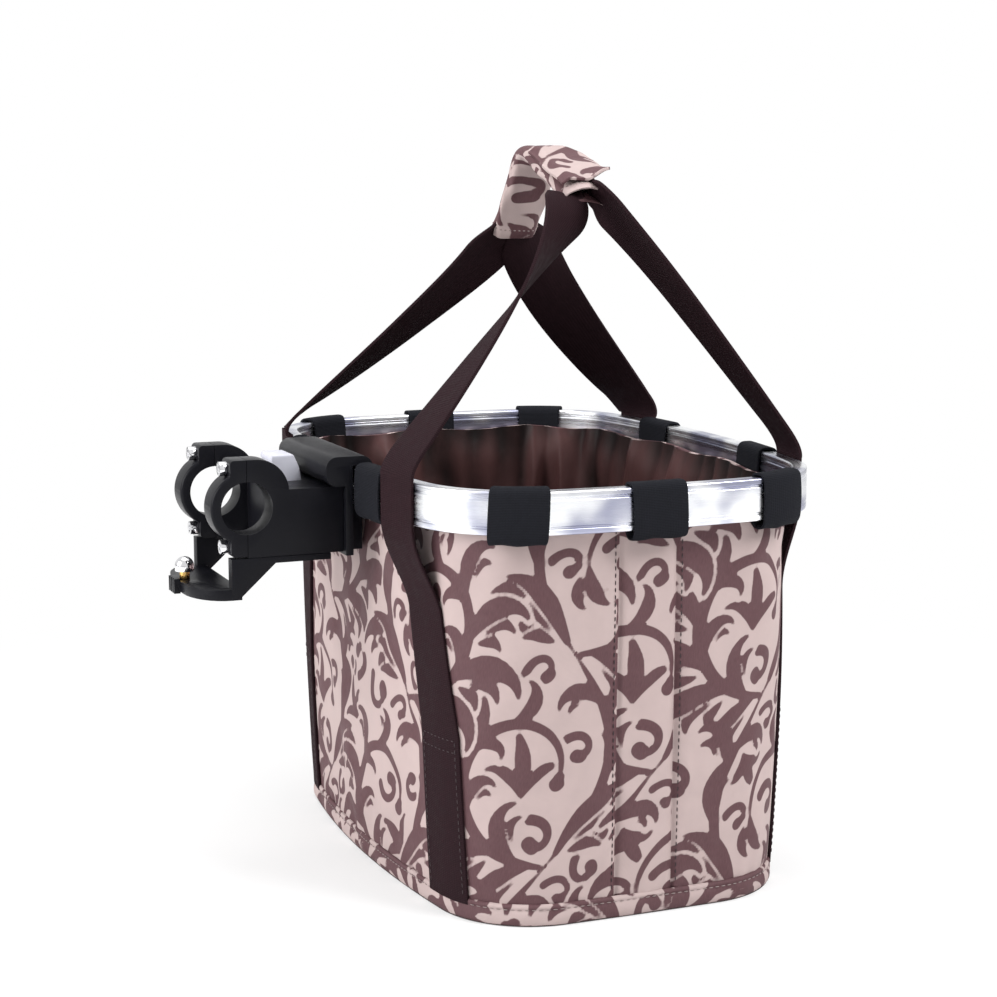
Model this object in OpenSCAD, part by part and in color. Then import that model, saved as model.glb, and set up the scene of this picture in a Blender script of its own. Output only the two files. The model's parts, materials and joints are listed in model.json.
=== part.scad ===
// Handlebar basket: a soft bag hung from a bent metal rim, with carry straps,
// a wrapped grip and a quick-release adapter that clamps to a handlebar.
// Frame: X along the handlebar, Y towards the rider, Z up, base on Z = 0.

/* [Rim] */
// Outside width of the rim, along the handlebar
rim_w = 378; // [350:1:410]
// Outside depth of the rim, front to rear
rim_d = 272; // [250:1:300]
// Height of the rim's top edge above the floor
rim_top = 258; // [240:1:280]
// Height of the rim's section
rim_h = 25; // [22:0.5:28]
// Thickness of the rim's section
rim_t = 9; // [7.5:0.5:11]
// Wall of the hollow rim section
rim_wall = 1.5; // [1:0.1:2]
// Outside radius of the rim's corners
rim_corner_r = 70; // [60:1:80]
// Bow radius of the rim's long sides
rim_long_r = 762; // [650:1:950]
// Bow radius of the rim's short sides
rim_short_r = 616; // [500:1:800]
// Depth of the grooves along the rim
rim_groove = 0.7; // [0.3:0.1:0.9]
// Gap between the rim's two ends, inside the bracket
rim_end_gap = 40; // [30:1:50]
// Length of the bar that joins the rim's ends
splice_l = 110; // [100:1:140]

/* [Base] */
// Outside width of the base, over the hem
base_w = 348; // [330:1:370]
// Outside depth of the base, over the hem
base_d = 234; // [220:1:250]
// Outside radius of the base's corners
base_corner_r = 60; // [50:1:70]
// Bow radius of the base's long sides
base_long_r = 880; // [750:1:1000]
// Bow radius of the base's short sides
base_short_r = 2400; // [1500:10:3000]
// Thickness of the outer bottom cloth
base_panel_t = 1.6; // [1.2:0.1:2.4]
// Thickness of the stiff board in the base
board_t = 3; // [2:0.1:4]
// Height of the hem round the base
hem_h = 13; // [9:0.5:18]
// Thickness of the hem
hem_t = 1.6; // [1.2:0.1:2.4]

/* [Bag] */
// Thickness of the padded walls
wall_t = 2.4; // [1.6:0.1:3.2]
// Thickness of the lining
lining_t = 0.8; // [0.6:0.1:1.2]
// How far the bag's top edge lies below the rim's top
bag_drop = 14; // [11:0.5:18]
// Room between the rim's inner face and the bag
bag_gap = 4; // [3.6:0.1:5]
// Width of the strip between the two seams of a short side
gusset_w = 37; // [28:1:44]
// Thickness of the piping on the bag's top edge
piping_d = 3; // [2:0.1:4]

/* [Webbing loops] */
// Width of a webbing loop
loop_w = 34; // [26:1:36]
// Thickness of the loop's webbing
loop_t = 1.6; // [1.2:0.1:2.2]
// How far a loop hangs below the rim
loop_tail = 6; // [4:0.5:8]
// Distance of the corner loops from the middle of the short side
loop_corner_s = 85; // [82:0.5:95]
// Distance of the long-side loops from the middle of the long side
loop_long_s = 69; // [68:0.5:70]

/* [Carry straps] */
// Width of the carry strap
strap_w = 38; // [30:1:40]
// Thickness of the carry strap
strap_t = 2; // [1.4:0.1:2.6]
// Distance of a strap from the middle of the long side, at the rim
strap_rim_s = 108; // [107:0.5:114]
// Distance of a strap from the middle of the long side, on the wall
strap_wall_s = 128; // [110:1:135]
// Height up to which the strap is sewn to the wall
strap_sewn_z = 110; // [80:1:140]
// Width of the folded strap inside the grip
strap_fold_w = 13; // [11:0.5:16]
// Thickness of the folded strap inside the grip
strap_fold_t = 4; // [3:0.1:5]

/* [Grip] */
// Distance along X of the grip's far end
grip_far_x = 27; // [20:1:40]
// Height of the grip's far end
grip_far_z = 392; // [385:1:400]
// Distance along X of the grip's peak
grip_peak_x = -14; // [-20:1:-8]
// Height of the grip's peak
grip_peak_z = 446; // [438:1:455]
// Distance along X of the grip's near end
grip_near_x = -86; // [-95:1:-80]
// Height of the grip's near end
grip_near_z = 420; // [410:1:428]
// Radius of the grip's bend
grip_bend_r = 16; // [12:0.5:20]
// Thickness of the wrap's cloth
wrap_t = 1.6; // [1.2:0.1:2.2]
// Length of the closing flap along the grip
flap_l = 54; // [40:1:56]
// How far the flap's free edge stands past the wrap
flap_over = 4; // [2:0.5:7]
// Thickness of the flap
flap_t = 1.8; // [1.4:0.1:2.4]
// Thickness of each fastening tape
tape_t = 0.8; // [0.6:0.1:1.2]
// Width of each fastening tape
tape_w = 20; // [14:1:24]

/* [Bracket] */
// Length of the bracket along the rim
bracket_w = 98; // [92:1:100]
// How far the bracket's bar stands behind the rim
bracket_bar_d = 17; // [14:0.5:19]
// Height of the bracket's bar above the rim
bracket_cap_h = 6; // [5:0.5:9]
// Height of the bracket's bar behind the rim
bracket_bar_h = 18; // [16:0.5:20]
// Edge radius of the bracket's bar
bracket_edge_r = 7; // [4:0.5:7.5]
// Thickness of the bracket's back plate
bracket_plate_t = 4.7; // [4.2:0.1:6]
// Height of the bracket's lower block
bracket_block_h = 29; // [25:0.5:34]
// Width of the bracket's lower block
bracket_block_w = 60; // [50:1:80]
// Thickness of the plate inside the rim
keeper_t = 3.2; // [2.6:0.1:3.2]
// Distance between the two bracket screws
bracket_screw_span = 78; // [72:1:84]
// Radius of the bracket screws
bracket_screw_r = 1.8; // [1.4:0.1:2.2]

/* [Adapter] */
// Radius of the handlebar clamp's bore
bar_r = 15.9; // [15:0.1:16.5]
// Distance of the handlebar's axis behind the rim's outer face
bar_back = 65; // [62:0.5:70]
// Depth of the handlebar's axis below the rim's top
bar_drop = 22.5; // [20:0.5:23]
// Outside radius of a clamp ring
ring_r = 22; // [20.5:0.5:23]
// Width of a clamp ring
ring_w = 18; // [16:0.5:20]
// Distance between the middles of the two rings
ring_span = 72; // [66:1:80]
// Gap between a ring's saddle and cap
ring_split = 0.3; // [0.2:0.05:0.6]
// Distance of a clamp bolt from the handlebar's axis
bolt_off = 23.5; // [22.5:0.1:24.2]
// Radius of a clamp bolt
bolt_r = 2.5; // [2:0.1:3]
// Thickness of a ring's ear on the cap
ear_t = 10; // [8:0.5:12]
// Height of the housing
housing_h = 40; // [38:0.5:42]
// Depth of the housing, front to rear
housing_d = 39; // [37:0.5:41]
// Depth of the T-rail's neck and of its head
rail_t = 5.3; // [4.5:0.1:5.5]
// Width of the T-rail's neck
rail_neck_w = 18; // [15:0.5:20]
// Width of the T-rail's head
rail_head_w = 30; // [26:0.5:34]
// Thickness of the stay's flange
stay_t = 3.7; // [3:0.1:5]
// Width of each arm of the stay
stay_arm_w = 8; // [6:0.5:10]
// Height of the stay's arms below the housing
stay_drop = 25; // [22:0.5:28]
// How far the stay's lip reaches past the arms
lip_reach = 22; // [20:0.5:26]
// Thickness of the stay's lip
lip_t = 6.5; // [5:0.5:8]
// Radius of the dome-headed screw's head
dome_r = 5.8; // [5:0.1:6.5]

/* [Release button] */
// Width of the release button
button_w = 24; // [20:0.5:26]
// Depth of the button's stem
button_stem_d = 12; // [11:0.5:13]
// How far the button stands above the housing
button_rise = 16; // [13:0.5:17]
// Travel of the button
button_travel = 4; // [3:0.5:4.5]
// Mean radius of the button's spring
spring_r = 4; // [3.5:0.1:4.5]
// Thickness of the spring's wire
spring_wire = 1; // [0.8:0.1:1.2]

/* [Fits] */
// Clearance between pieces that lie against each other
fit = 0.3; // [0.2:0.05:0.35]
// Radial clearance of a screw in its hole
screw_fit = 0.1; // [0.05:0.05:0.2]

/* [Hidden] */
$fn = 64;
// How far pieces of one solid run into each other
eps = 0.05;
// How far a cutter runs past the face it cuts
cut = 1;

// Colours
cloth_colour = "#d3bdb1";
brown_colour = "#4a3232";
black_colour = "#24242a";
metal_colour = "#d8dade";

// Heights
rim_bottom = rim_top - rim_h;
bag_top = rim_top - bag_drop;
wall_bottom = base_panel_t + fit;
board_z = base_panel_t + fit;
floor_z = board_z + board_t + fit;
hem_clear = 0.6;

// Outlines: half width, half depth, corner radius, long-side radius, short-side radius
rim_shape = [rim_w / 2, rim_d / 2, rim_corner_r, rim_long_r, rim_short_r];
base_shape = [base_w / 2, base_d / 2, base_corner_r, base_long_r, base_short_r];
wall_base_off = -hem_t - fit;
wall_rim_off = -rim_t - bag_gap;

// Centre of the corner arc that is tangent to both side arcs
function corner_centre(s) =
    let (
        p = [0, s[1] - s[3]],
        q = [s[0] - s[4], 0],
        reach_p = s[3] - s[2],
        reach_q = s[4] - s[2],
        span = norm(q - p),
        e = (q - p) / span,
        m = (reach_p * reach_p - reach_q * reach_q + span * span) / (2 * span),
        h = sqrt(reach_p * reach_p - m * m)
    )
    p + m * e + h * [e[1], -e[0]];
// Half angles of the long and short side arcs
function long_angle(s) = asin(corner_centre(s)[0] / (s[3] - s[2]));
function short_angle(s) = asin(corner_centre(s)[1] / (s[4] - s[2]));
function corner_angle(s) = 90 - long_angle(s) - short_angle(s);
function arc_length(r, angle) = r * angle * PI / 180;

// Point of a quarter outline: q runs 0..1 on the long side, 1..2 on the corner, 2..3 on the short side
function quarter_point(s, q, off) =
    let (
        on_long = q <= 1,
        on_corner = q <= 2,
        angle = on_long ? long_angle(s) * q
            : on_corner ? long_angle(s) + corner_angle(s) * (q - 1)
            : 90 - short_angle(s) * (3 - q),
        centre = on_long ? [0, s[1] - s[3]] : on_corner ? corner_centre(s) : [s[0] - s[4], 0],
        r = (on_long ? s[3] : on_corner ? s[2] : s[4]) + off
    )
    centre + r * [sin(angle), cos(angle)];

// Point of the whole outline: u runs 0..12 from the rear middle, clockwise seen from above
function outline_point(s, u, off) =
    let (
        w = u % 12,
        k = floor(w / 3),
        q = k == 0 ? w : k == 1 ? 6 - w : k == 2 ? w - 6 : 12 - w,
        p = quarter_point(s, q, off)
    )
    [p[0] * (k < 2 ? 1 : -1), p[1] * (k == 0 || k == 3 ? 1 : -1)];

// Place on the quarter outline at a distance from the middle of the long side
function q_at(s, distance) =
    let (
        long = arc_length(s[3], long_angle(s)),
        corner = arc_length(s[2], corner_angle(s)),
        short = arc_length(s[4], short_angle(s))
    )
    distance < long ? distance / long
        : distance < long + corner ? 1 + (distance - long) / corner
        : 2 + (distance - long - corner) / short;

function mix(a, b, t) = a + (b - a) * t;
function raised(p, z) = [p[0], p[1], z];
function unit(v) = v / norm(v);

// Steps from a to b, without b
function steps(a, b, n) = [for (i = [0 : n - 1]) mix(a, b, i / n)];
corner_steps = 8;
side_steps = 3;
// Stations along one long wall, from seam to seam
function seam_q(s) = asin((gusset_w / 2 + fit / 2) / s[4]) / short_angle(s);
function wall_stations(s, from) =
    let (d = seam_q(s))
    concat(
        steps(from + d, from + 1, side_steps), steps(from + 1, from + 2, corner_steps),
        steps(from + 2, from + 4, 2 * side_steps), steps(from + 4, from + 5, corner_steps),
        steps(from + 5, from + 6 - d, side_steps), [from + 6 - d]
    );
// Stations all round
function round_stations() =
    [for (k = [0 : 3]) each concat(
        steps(3 * k, 3 * k + 1, side_steps), steps(3 * k + 1, 3 * k + 2, corner_steps),
        steps(3 * k + 2, 3 * k + 3, side_steps))];

// Point of the bag's wall at a height, off outwards from its outer face
function wall_point(u_base, u_rim, z, off) =
    raised(
        mix(
            outline_point(base_shape, u_base, wall_base_off + off),
            outline_point(rim_shape, u_rim, wall_rim_off + off),
            (z - wall_bottom) / (bag_top - wall_bottom)
        ), z);

// Solid swept through loops of points: a loop lists its outer points and then its inner ones backwards
module swept(loops, closed = false) {
    n = len(loops);
    m = len(loops[0]);
    half = m / 2;
    last = closed ? n - 1 : n - 2;
    sides = [for (i = [0 : last]) for (j = [0 : m - 1])
        let (
            next = ((i + 1) % n) * m,
            a = i * m + j,
            b = i * m + (j + 1) % m,
            c = next + (j + 1) % m,
            d = next + j
        )
        each j < half ? [[a, c, b], [a, d, c]] : [[a, d, b], [b, d, c]]];
    first_cap = [for (j = [0 : half - 2]) each [[j, m - 2 - j, m - 1 - j], [j, j + 1, m - 2 - j]]];
    last_cap = [for (f = first_cap) [for (k = [2 : -1 : 0]) f[k] + (n - 1) * m]];
    faces = closed ? sides : concat(sides, first_cap, last_cap);
    polyhedron(points = [for (l = loops) each l], faces = faces);
}

// One wall panel between two lists of stations, from one height to another
module wall_panel(base_us, rim_us, low, high, outer, thick, closed = false) {
    swept([for (i = [0 : len(base_us) - 1]) [
        wall_point(base_us[i], rim_us[i], low, outer),
        wall_point(base_us[i], rim_us[i], high, outer),
        wall_point(base_us[i], rim_us[i], high, outer - thick),
        wall_point(base_us[i], rim_us[i], low, outer - thick)
    ]], closed);
}

// Flat plate with the bag's bottom outline
module base_plate(off, z, thick) {
    translate([0, 0, z])
        linear_extrude(thick)
            polygon([for (u = round_stations()) outline_point(base_shape, u, off)]);
}

module base_panel() color("#3a2a2a") base_plate(wall_base_off, 0, base_panel_t);
module base_board() color("dimgray") base_plate(wall_base_off - wall_t - fit, board_z, board_t);
module floor_lining() color(brown_colour) base_plate(wall_base_off - wall_t - fit, floor_z, lining_t);

module base_hem() {
    us = round_stations();
    color(cloth_colour)
        swept([for (u = us) [
            raised(outline_point(base_shape, u, 0), hem_clear),
            raised(outline_point(base_shape, u, 0), hem_h),
            wall_point(u, u, hem_h, fit),
            wall_point(u, u, hem_clear, fit)
        ]], true);
}

module long_wall(from) {
    color(cloth_colour)
        wall_panel(wall_stations(base_shape, from), wall_stations(rim_shape, from),
            wall_bottom, bag_top, 0, wall_t);
}
module front_wall() long_wall(3);
module rear_wall() long_wall(9);

// Strip between the two seams, round the middle of a short side
module gusset(middle) {
    function strip_q(s) = asin((gusset_w / 2 - fit / 2) / s[4]) / short_angle(s);
    function across(s) = [for (t = [-1, 0, 1]) middle + t * strip_q(s)];
    color(cloth_colour)
        wall_panel(across(base_shape), across(rim_shape), wall_bottom, bag_top, 0, wall_t);
}
module right_gusset() gusset(3);
module left_gusset() gusset(9);

module side_lining() {
    us = round_stations();
    color(brown_colour)
        wall_panel(us, us, floor_z + lining_t + fit, bag_top, -wall_t - fit, lining_t, true);
}

// Piping that caps the bag's top edge
module top_piping() {
    us = round_stations();
    middle = -(wall_t + fit + lining_t) / 2;
    color(cloth_colour)
        swept([for (u = us) [
            wall_point(u, u, bag_top + fit, middle + piping_d / 2),
            wall_point(u, u, bag_top + fit + piping_d, middle + piping_d / 4),
            wall_point(u, u, bag_top + fit + piping_d, middle - piping_d / 4),
            wall_point(u, u, bag_top + fit, middle - piping_d / 2)
        ]], true);
}

// Strap on the wall: sewn flat up to strap_sewn_z, then free to the rim's outer face
strap_across = [-1, -0.5, 0, 0.5, 1];
strap_split_z = rim_bottom - fit;
function strap_on_wall(z, side, off) =
    let (d = strap_wall_s + side * strap_w / 2)
    wall_point(q_at(base_shape, d), q_at(rim_shape, d), z, off);
function strap_on_rim(z, side, off) =
    raised(quarter_point(rim_shape, q_at(rim_shape, strap_rim_s + side * strap_w / 2), off), z);
function strap_point(z, side, off) =
    z <= strap_sewn_z ? strap_on_wall(z, side, off)
        : raised(mix(strap_on_wall(strap_sewn_z, side, off), strap_on_rim(rim_bottom, side, off),
            (z - strap_sewn_z) / (rim_bottom - strap_sewn_z)), z);
module wall_strap(right, rear) {
    zs = concat(steps(hem_h + fit, strap_sewn_z, 2), steps(strap_sewn_z, strap_split_z, 3), [strap_split_z]);
    color(brown_colour)
        mirror([right ? 0 : 1, 0, 0])
            mirror([0, rear ? 0 : 1, 0])
                swept([for (z = zs) concat(
                    [for (t = strap_across) strap_point(z, t, fit)],
                    [for (t = strap_across) strap_point(z, -t, fit + strap_t)])]);
}
module rear_left_wall_strap() wall_strap(false, true);
module rear_right_wall_strap() wall_strap(true, true);
module front_left_wall_strap() wall_strap(false, false);
module front_right_wall_strap() wall_strap(true, false);

// Section of the rim at a station: a flat bar with two grooves in each face, outer face first
rib_w = 1.6;
rib_slope = 0.4;
edge_band = 2.5;
rim_groove_zs = [rim_bottom + edge_band, rim_top - edge_band - rib_w];
function rim_face(u, off, sunk) =
    let (face = outline_point(rim_shape, u, off), deep = outline_point(rim_shape, u, off - sunk))
    concat(
        [raised(face, rim_bottom)],
        [for (z = rim_groove_zs) each [
            raised(face, z), raised(deep, z + rib_slope),
            raised(deep, z + rib_w - rib_slope), raised(face, z + rib_w)
        ]],
        [raised(face, rim_top)]
    );
function backwards(list) = [for (i = [len(list) - 1 : -1 : 0]) list[i]];
function rim_loop(u) =
    concat(rim_face(u, 0, rim_groove), backwards(rim_face(u, -rim_t, -rim_groove)));
function rim_core(u) =
    let (
        low = rim_bottom + rim_wall,
        high = rim_top - rim_wall,
        outer = outline_point(rim_shape, u, -rim_wall),
        inner = outline_point(rim_shape, u, rim_wall - rim_t)
    )
    [raised(outer, low), raised(outer, high), raised(inner, high), raised(inner, low)];

// Sweeps a section about a centre, between two angles from +X
module swept_arc(centre, from, to) {
    translate([centre[0], centre[1], 0])
        rotate([0, 0, from])
            rotate_extrude(angle = to - from, $fn = 720)
                children();
}

rim_corner = corner_centre(rim_shape);
rim_long_angle = long_angle(rim_shape);
rim_short_angle = short_angle(rim_shape);
long_centre = [0, rim_d / 2 - rim_long_r];
short_centre = [rim_w / 2 - rim_short_r, 0];
// Stations of the rim, from one end round the front to the other
function rim_stations(gap) =
    let (end = q_at(rim_shape, gap / 2))
    concat(
        steps(end, 1, side_steps), [for (u = round_stations()) if (u >= 1 && u < 11) u],
        steps(11, 12 - end, side_steps), [12 - end]
    );

module rim_hoop() {
    color(metal_colour)
        difference() {
            swept([for (u = rim_stations(rim_end_gap)) rim_loop(u)]);
            swept([for (u = rim_stations(rim_end_gap - cut)) rim_core(u)]);
            bracket_screw_holes(bracket_screw_r + screw_fit);
        }
}

module rim_splice() {
    inset = rim_wall + fit;
    half = asin(splice_l / 2 / rim_long_r);
    color("silver")
        difference() {
            swept_arc(long_centre, 90 - half, 90 + half)
                translate([rim_long_r - rim_t + inset, rim_bottom + inset])
                    square([rim_t - 2 * inset, rim_h - 2 * inset]);
            bracket_screw_holes(bracket_screw_r + screw_fit);
        }
}

// Webbing loop round the rim, w wide, at an angle on an arc of radius r
module webbing_loop(centre, r, angle) {
    half = loop_w / r / 2 * 180 / PI;
    inner_leg = bag_gap - 2 * fit;
    color(black_colour)
        swept_arc(centre, angle - half, angle + half)
            difference() {
                translate([r - rim_t - fit - inner_leg, rim_bottom - loop_tail])
                    square([rim_t + 2 * fit + inner_leg + loop_t, rim_h + loop_tail + fit + loop_t]);
                translate([r - rim_t - fit, rim_bottom - loop_tail + loop_t])
                    square([rim_t + 2 * fit, rim_h + loop_tail - loop_t + fit]);
            }
}
module corner_loop() {
    along = loop_corner_s - arc_length(rim_short_r, rim_short_angle);
    webbing_loop(rim_corner, rim_corner_r, rim_short_angle + along / rim_corner_r * 180 / PI);
}
module long_loop() webbing_loop(long_centre, rim_long_r, 90 - loop_long_s / rim_long_r * 180 / PI);
module loop_right_middle() webbing_loop(short_centre, rim_short_r, 0);
module loop_left_middle() mirror([1, 0, 0]) loop_right_middle();
module loop_right_rear() corner_loop();
module loop_left_rear() mirror([1, 0, 0]) corner_loop();
module loop_right_front() mirror([0, 1, 0]) corner_loop();
module loop_left_front() mirror([1, 0, 0]) mirror([0, 1, 0]) corner_loop();
module loop_rear_right() long_loop();
module loop_rear_left() mirror([1, 0, 0]) long_loop();
module loop_front_right() mirror([0, 1, 0]) long_loop();
module loop_front_left() mirror([1, 0, 0]) mirror([0, 1, 0]) long_loop();

// The grip's middle line in the XZ plane: up from the far end, round a bend, down to the near end
grip_far = [grip_far_x, grip_far_z];
grip_peak = [grip_peak_x, grip_peak_z];
grip_near = [grip_near_x, grip_near_z];
far_dir = unit(grip_peak - grip_far);
near_dir = unit(grip_near - grip_peak);
far_up = [far_dir[1], -far_dir[0]];
near_up = [near_dir[1], -near_dir[0]];
grip_turn = acos(far_dir * near_dir);
bend_run = grip_bend_r * tan(grip_turn / 2);
bend_start = grip_peak - far_dir * bend_run;
bend_end = grip_peak + near_dir * bend_run;
bend_centre = bend_start - far_up * grip_bend_r;
near_run = norm(grip_near - bend_end);
wrap_half_t = strap_fold_t / 2 + fit + wrap_t;
wrap_half_w = strap_fold_w + 2 * fit + wrap_t;

// Band along the grip's middle line, half thick to each side and longer by over at both ends
bend_steps = 12;
far_up_angle = atan2(far_up[1], far_up[0]);
function bend_arc(r) =
    [for (i = [0 : bend_steps])
        let (a = far_up_angle + grip_turn * i / bend_steps)
        bend_centre + r * [cos(a), sin(a)]];
function grip_edge(half, over) =
    concat(
        [grip_far - far_dir * over + far_up * half], bend_arc(grip_bend_r + half),
        [grip_near + near_dir * over + near_up * half]
    );
module grip_band(half, over) {
    polygon(concat(grip_edge(half, over), backwards(grip_edge(-half, over))));
}
// Stands a drawing of the XZ plane up, between two Y values
module upright(from, to) {
    translate([0, to, 0])
        rotate([90, 0, 0])
            linear_extrude(to - from)
                children();
}

module strap_top(rear) {
    color(brown_colour)
        mirror([0, rear ? 0 : 1, 0])
            upright(fit / 2, fit / 2 + strap_fold_w) grip_band(strap_fold_t / 2, 0);
}
module rear_strap_top() strap_top(true);
module front_strap_top() strap_top(false);

module grip_wrap() {
    color(cloth_colour)
        difference() {
            upright(-wrap_half_w, wrap_half_w) grip_band(wrap_half_t, 0);
            upright(wrap_t - wrap_half_w, wrap_half_w - wrap_t) grip_band(wrap_half_t - wrap_t, cut);
        }
}

// Places a box on the near slope: along from the bend, from one Y to another, up from the wrap's face
flap_start = (near_run - flap_l) / 2;
slope_turn = atan2(near_dir[1], -near_dir[0]);
module on_slope(along, length, from, to, up, thick) {
    corner = bend_end + near_dir * (along + length) + near_up * (wrap_half_t + up);
    translate([corner[0], from, corner[1]])
        rotate([0, slope_turn, 0])
            cube([length, to - from, thick]);
}
tape_gap = 2;
flap_up = 2 * tape_t + fit;
module loop_tape() {
    color("#5a4644")
        on_slope(flap_start + tape_gap, flap_l - 2 * tape_gap, -tape_w / 2, tape_w / 2, 0, tape_t);
}
module hook_tape() {
    color("#5a4644")
        on_slope(flap_start + tape_gap, flap_l - 2 * tape_gap, -tape_w / 2, tape_w / 2, tape_t + fit, tape_t);
}
module grip_flap() {
    color(cloth_colour)
        on_slope(flap_start, flap_l, -wrap_half_w - flap_over, wrap_half_w, flap_up, flap_t);
}

// Upper strap leg: up the rim's outer face and then on to the grip's end, turning as it goes
leg_lift = 1.5;
leg_steps = 12;
grip_lead = 25;
// End of the folded strap at the grip: middle, up from its face and out along the grip
function leg_end(right) =
    let (
        out = right ? -far_dir : near_dir,
        p = (right ? grip_far : grip_near) + out * fit,
        up = right ? far_up : near_up
    )
    [[p[0], fit / 2 + strap_fold_w / 2, p[1]], [up[0], 0, up[1]], [out[0], 0, out[1]]];
function leg_loop(c, w, t) = [c - w - t, c + w - t, c + w + t, c - w + t];
function foot_centre(z) = mix(strap_on_rim(z, -1, fit), strap_on_rim(z, 1, fit), 0.5)
    + raised(foot_normal() * (strap_t / 2 + fit), 0);
function foot_chord() = unit(strap_on_rim(0, 1, fit) - strap_on_rim(0, -1, fit));
function foot_normal() = [-foot_chord()[1], foot_chord()[0]];
module strap_leg(right, rear) {
    flip = right ? 1 : -1;
    end = leg_end(right);
    low = foot_centre(rim_bottom);
    high = foot_centre(rim_top + leg_lift);
    chord = foot_chord();
    normal = raised(foot_normal(), 0);
    function turned(p) = [p[0] * flip, p[1], p[2]];
    from = turned(high);
    knee = end[0] + end[2] * grip_lead;
    w0 = turned(chord) * strap_w / 2;
    w1 = [0, -flip * strap_fold_w / 2, 0];
    function leg_at(k) =
        let (
            t = k / leg_steps,
            c = mix(mix(from, knee, t), mix(knee, end[0], t), t),
            along = mix(knee - from, end[0] - knee, t),
            w = mix(w0, w1, t)
        )
        leg_loop(c, w, unit(cross(along, w)) * flip * mix(strap_t, strap_fold_t, t) / 2);
    loops = concat(
        [for (c = [turned(low), from]) leg_loop(c, w0, turned(normal) * strap_t / 2)],
        [for (k = [1 : leg_steps - 1]) leg_at(k)],
        [leg_loop(end[0], w1, end[1] * flip * strap_fold_t / 2)]
    );
    color(brown_colour)
        mirror([0, rear ? 0 : 1, 0])
            swept(right ? loops : [for (l = loops) backwards(l)]);
}
module rear_left_strap() strap_leg(false, true);
module rear_right_strap() strap_leg(true, true);
module front_left_strap() strap_leg(false, false);
module front_right_strap() strap_leg(true, false);

// Draws in the YZ plane and extrudes along X, centred
module along_x(length) {
    rotate([90, 0, 90])
        linear_extrude(length, center = true)
            children();
}
// Box between two corners
module box(low, high) {
    translate(low) cube(high - low);
}
// Box centred on X = 0
module mid_box(width, low, high) {
    box([-width / 2, low[0], low[1]], [width / 2, high[0], high[1]]);
}
// Rod along Y at an X and Z, between two Y values
module y_rod(x, z, r, from, to) {
    translate([x, from, z])
        rotate([-90, 0, 0])
            cylinder(r = r, h = to - from);
}

// Places of the bracket, from the rim's rear face backwards
rim_rear = rim_d / 2;
plate_front = rim_rear + fit;
plate_rear = plate_front + bracket_plate_t;
keeper_rear = rim_rear - rim_t - fit;
keeper_front = keeper_rear - keeper_t;
block_top = rim_bottom - fit;
block_bottom = block_top - bracket_block_h;
block_clear = 1.3;
block_front = rim_rear - rim_t - bag_gap + block_clear;
bar_top = rim_top + bracket_cap_h;
bar_bottom = bar_top - bracket_bar_h;
bracket_screw_z = rim_bottom + rim_h / 2;
slot_front = plate_rear - 2 * rail_t - fit;
slot_roof = 1.7;
slot_top = block_top - slot_roof;
groove_depth = 3.4;
latch_rise = 2.5;
latch_z = slot_top + latch_rise;
latch_h = 4.5;
latch_w = 10;
keeper_inset = 1;
// How far the rim's bow draws the keeper's ends forward
keeper_bow = rim_long_r - sqrt(pow(rim_long_r, 2) - pow(bracket_w / 2, 2));

module bracket_screw_holes(r) {
    from = keeper_front - keeper_bow - cut;
    for (side = [-1, 1])
        y_rod(side * bracket_screw_span / 2, bracket_screw_z, r, from, plate_rear + cut);
}
// Room for the rim in the bracket, fit clear all round
module rim_channel() {
    half = rim_long_angle;
    swept_arc(long_centre, 90 - half, 90 + half)
        translate([rim_long_r - rim_t - fit, rim_bottom - fit])
            square([rim_t + 2 * fit, rim_h + 2 * fit]);
}
// Rectangle with round corners, between two corners
module round_square(low, high, r) {
    translate([low[0] + r, low[1]]) square([high[0] - low[0] - 2 * r, high[1] - low[1]]);
    translate([low[0], low[1] + r]) square([high[0] - low[0], high[1] - low[1] - 2 * r]);
    for (y = [low[0] + r, high[0] - r]) for (z = [low[1] + r, high[1] - r])
        translate([y, z]) circle(r);
}

module bracket_shell() {
    color(black_colour)
        difference() {
            union() {
                along_x(bracket_w)
                    difference() {
                        round_square([keeper_front, bar_bottom], [rim_rear + bracket_bar_d, bar_top],
                            bracket_edge_r);
                        translate([keeper_front - cut, bar_bottom - cut])
                            square([plate_front - keeper_front + cut, rim_top + fit - bar_bottom + cut]);
                    }
                mid_box(bracket_w, [plate_front, block_bottom], [plate_rear, bar_bottom + bracket_edge_r]);
                mid_box(bracket_block_w, [block_front, block_bottom], [plate_rear, block_top]);
            }
            rim_channel();
            mid_box(rail_neck_w + 2 * fit, [slot_front, block_bottom - cut], [plate_rear + cut, slot_top]);
            mid_box(rail_head_w + 2 * fit, [slot_front, block_bottom - cut],
                [slot_front + rail_t + fit, slot_top]);
            mid_box(latch_w + 2 * fit, [plate_rear - groove_depth, slot_top - cut],
                [plate_rear + cut, latch_z + latch_h + fit]);
            bracket_screw_holes(bracket_screw_r + screw_fit);
            for (side = [-1, 1])
                y_rod(side * bracket_screw_span / 2, bracket_screw_z, screw_head_r + screw_fit,
                    plate_rear - screw_head_t - screw_fit, plate_rear + cut);
        }
}

module bracket_keeper() {
    half = asin((bracket_w / 2 - keeper_inset) / rim_long_r);
    color(black_colour)
        difference() {
            swept_arc(long_centre, 90 - half, 90 + half)
                translate([rim_long_r - rim_t - fit - keeper_t, rim_bottom - fit])
                    square([keeper_t, rim_h]);
            bracket_screw_holes(bracket_screw_r + screw_fit);
        }
}

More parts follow.
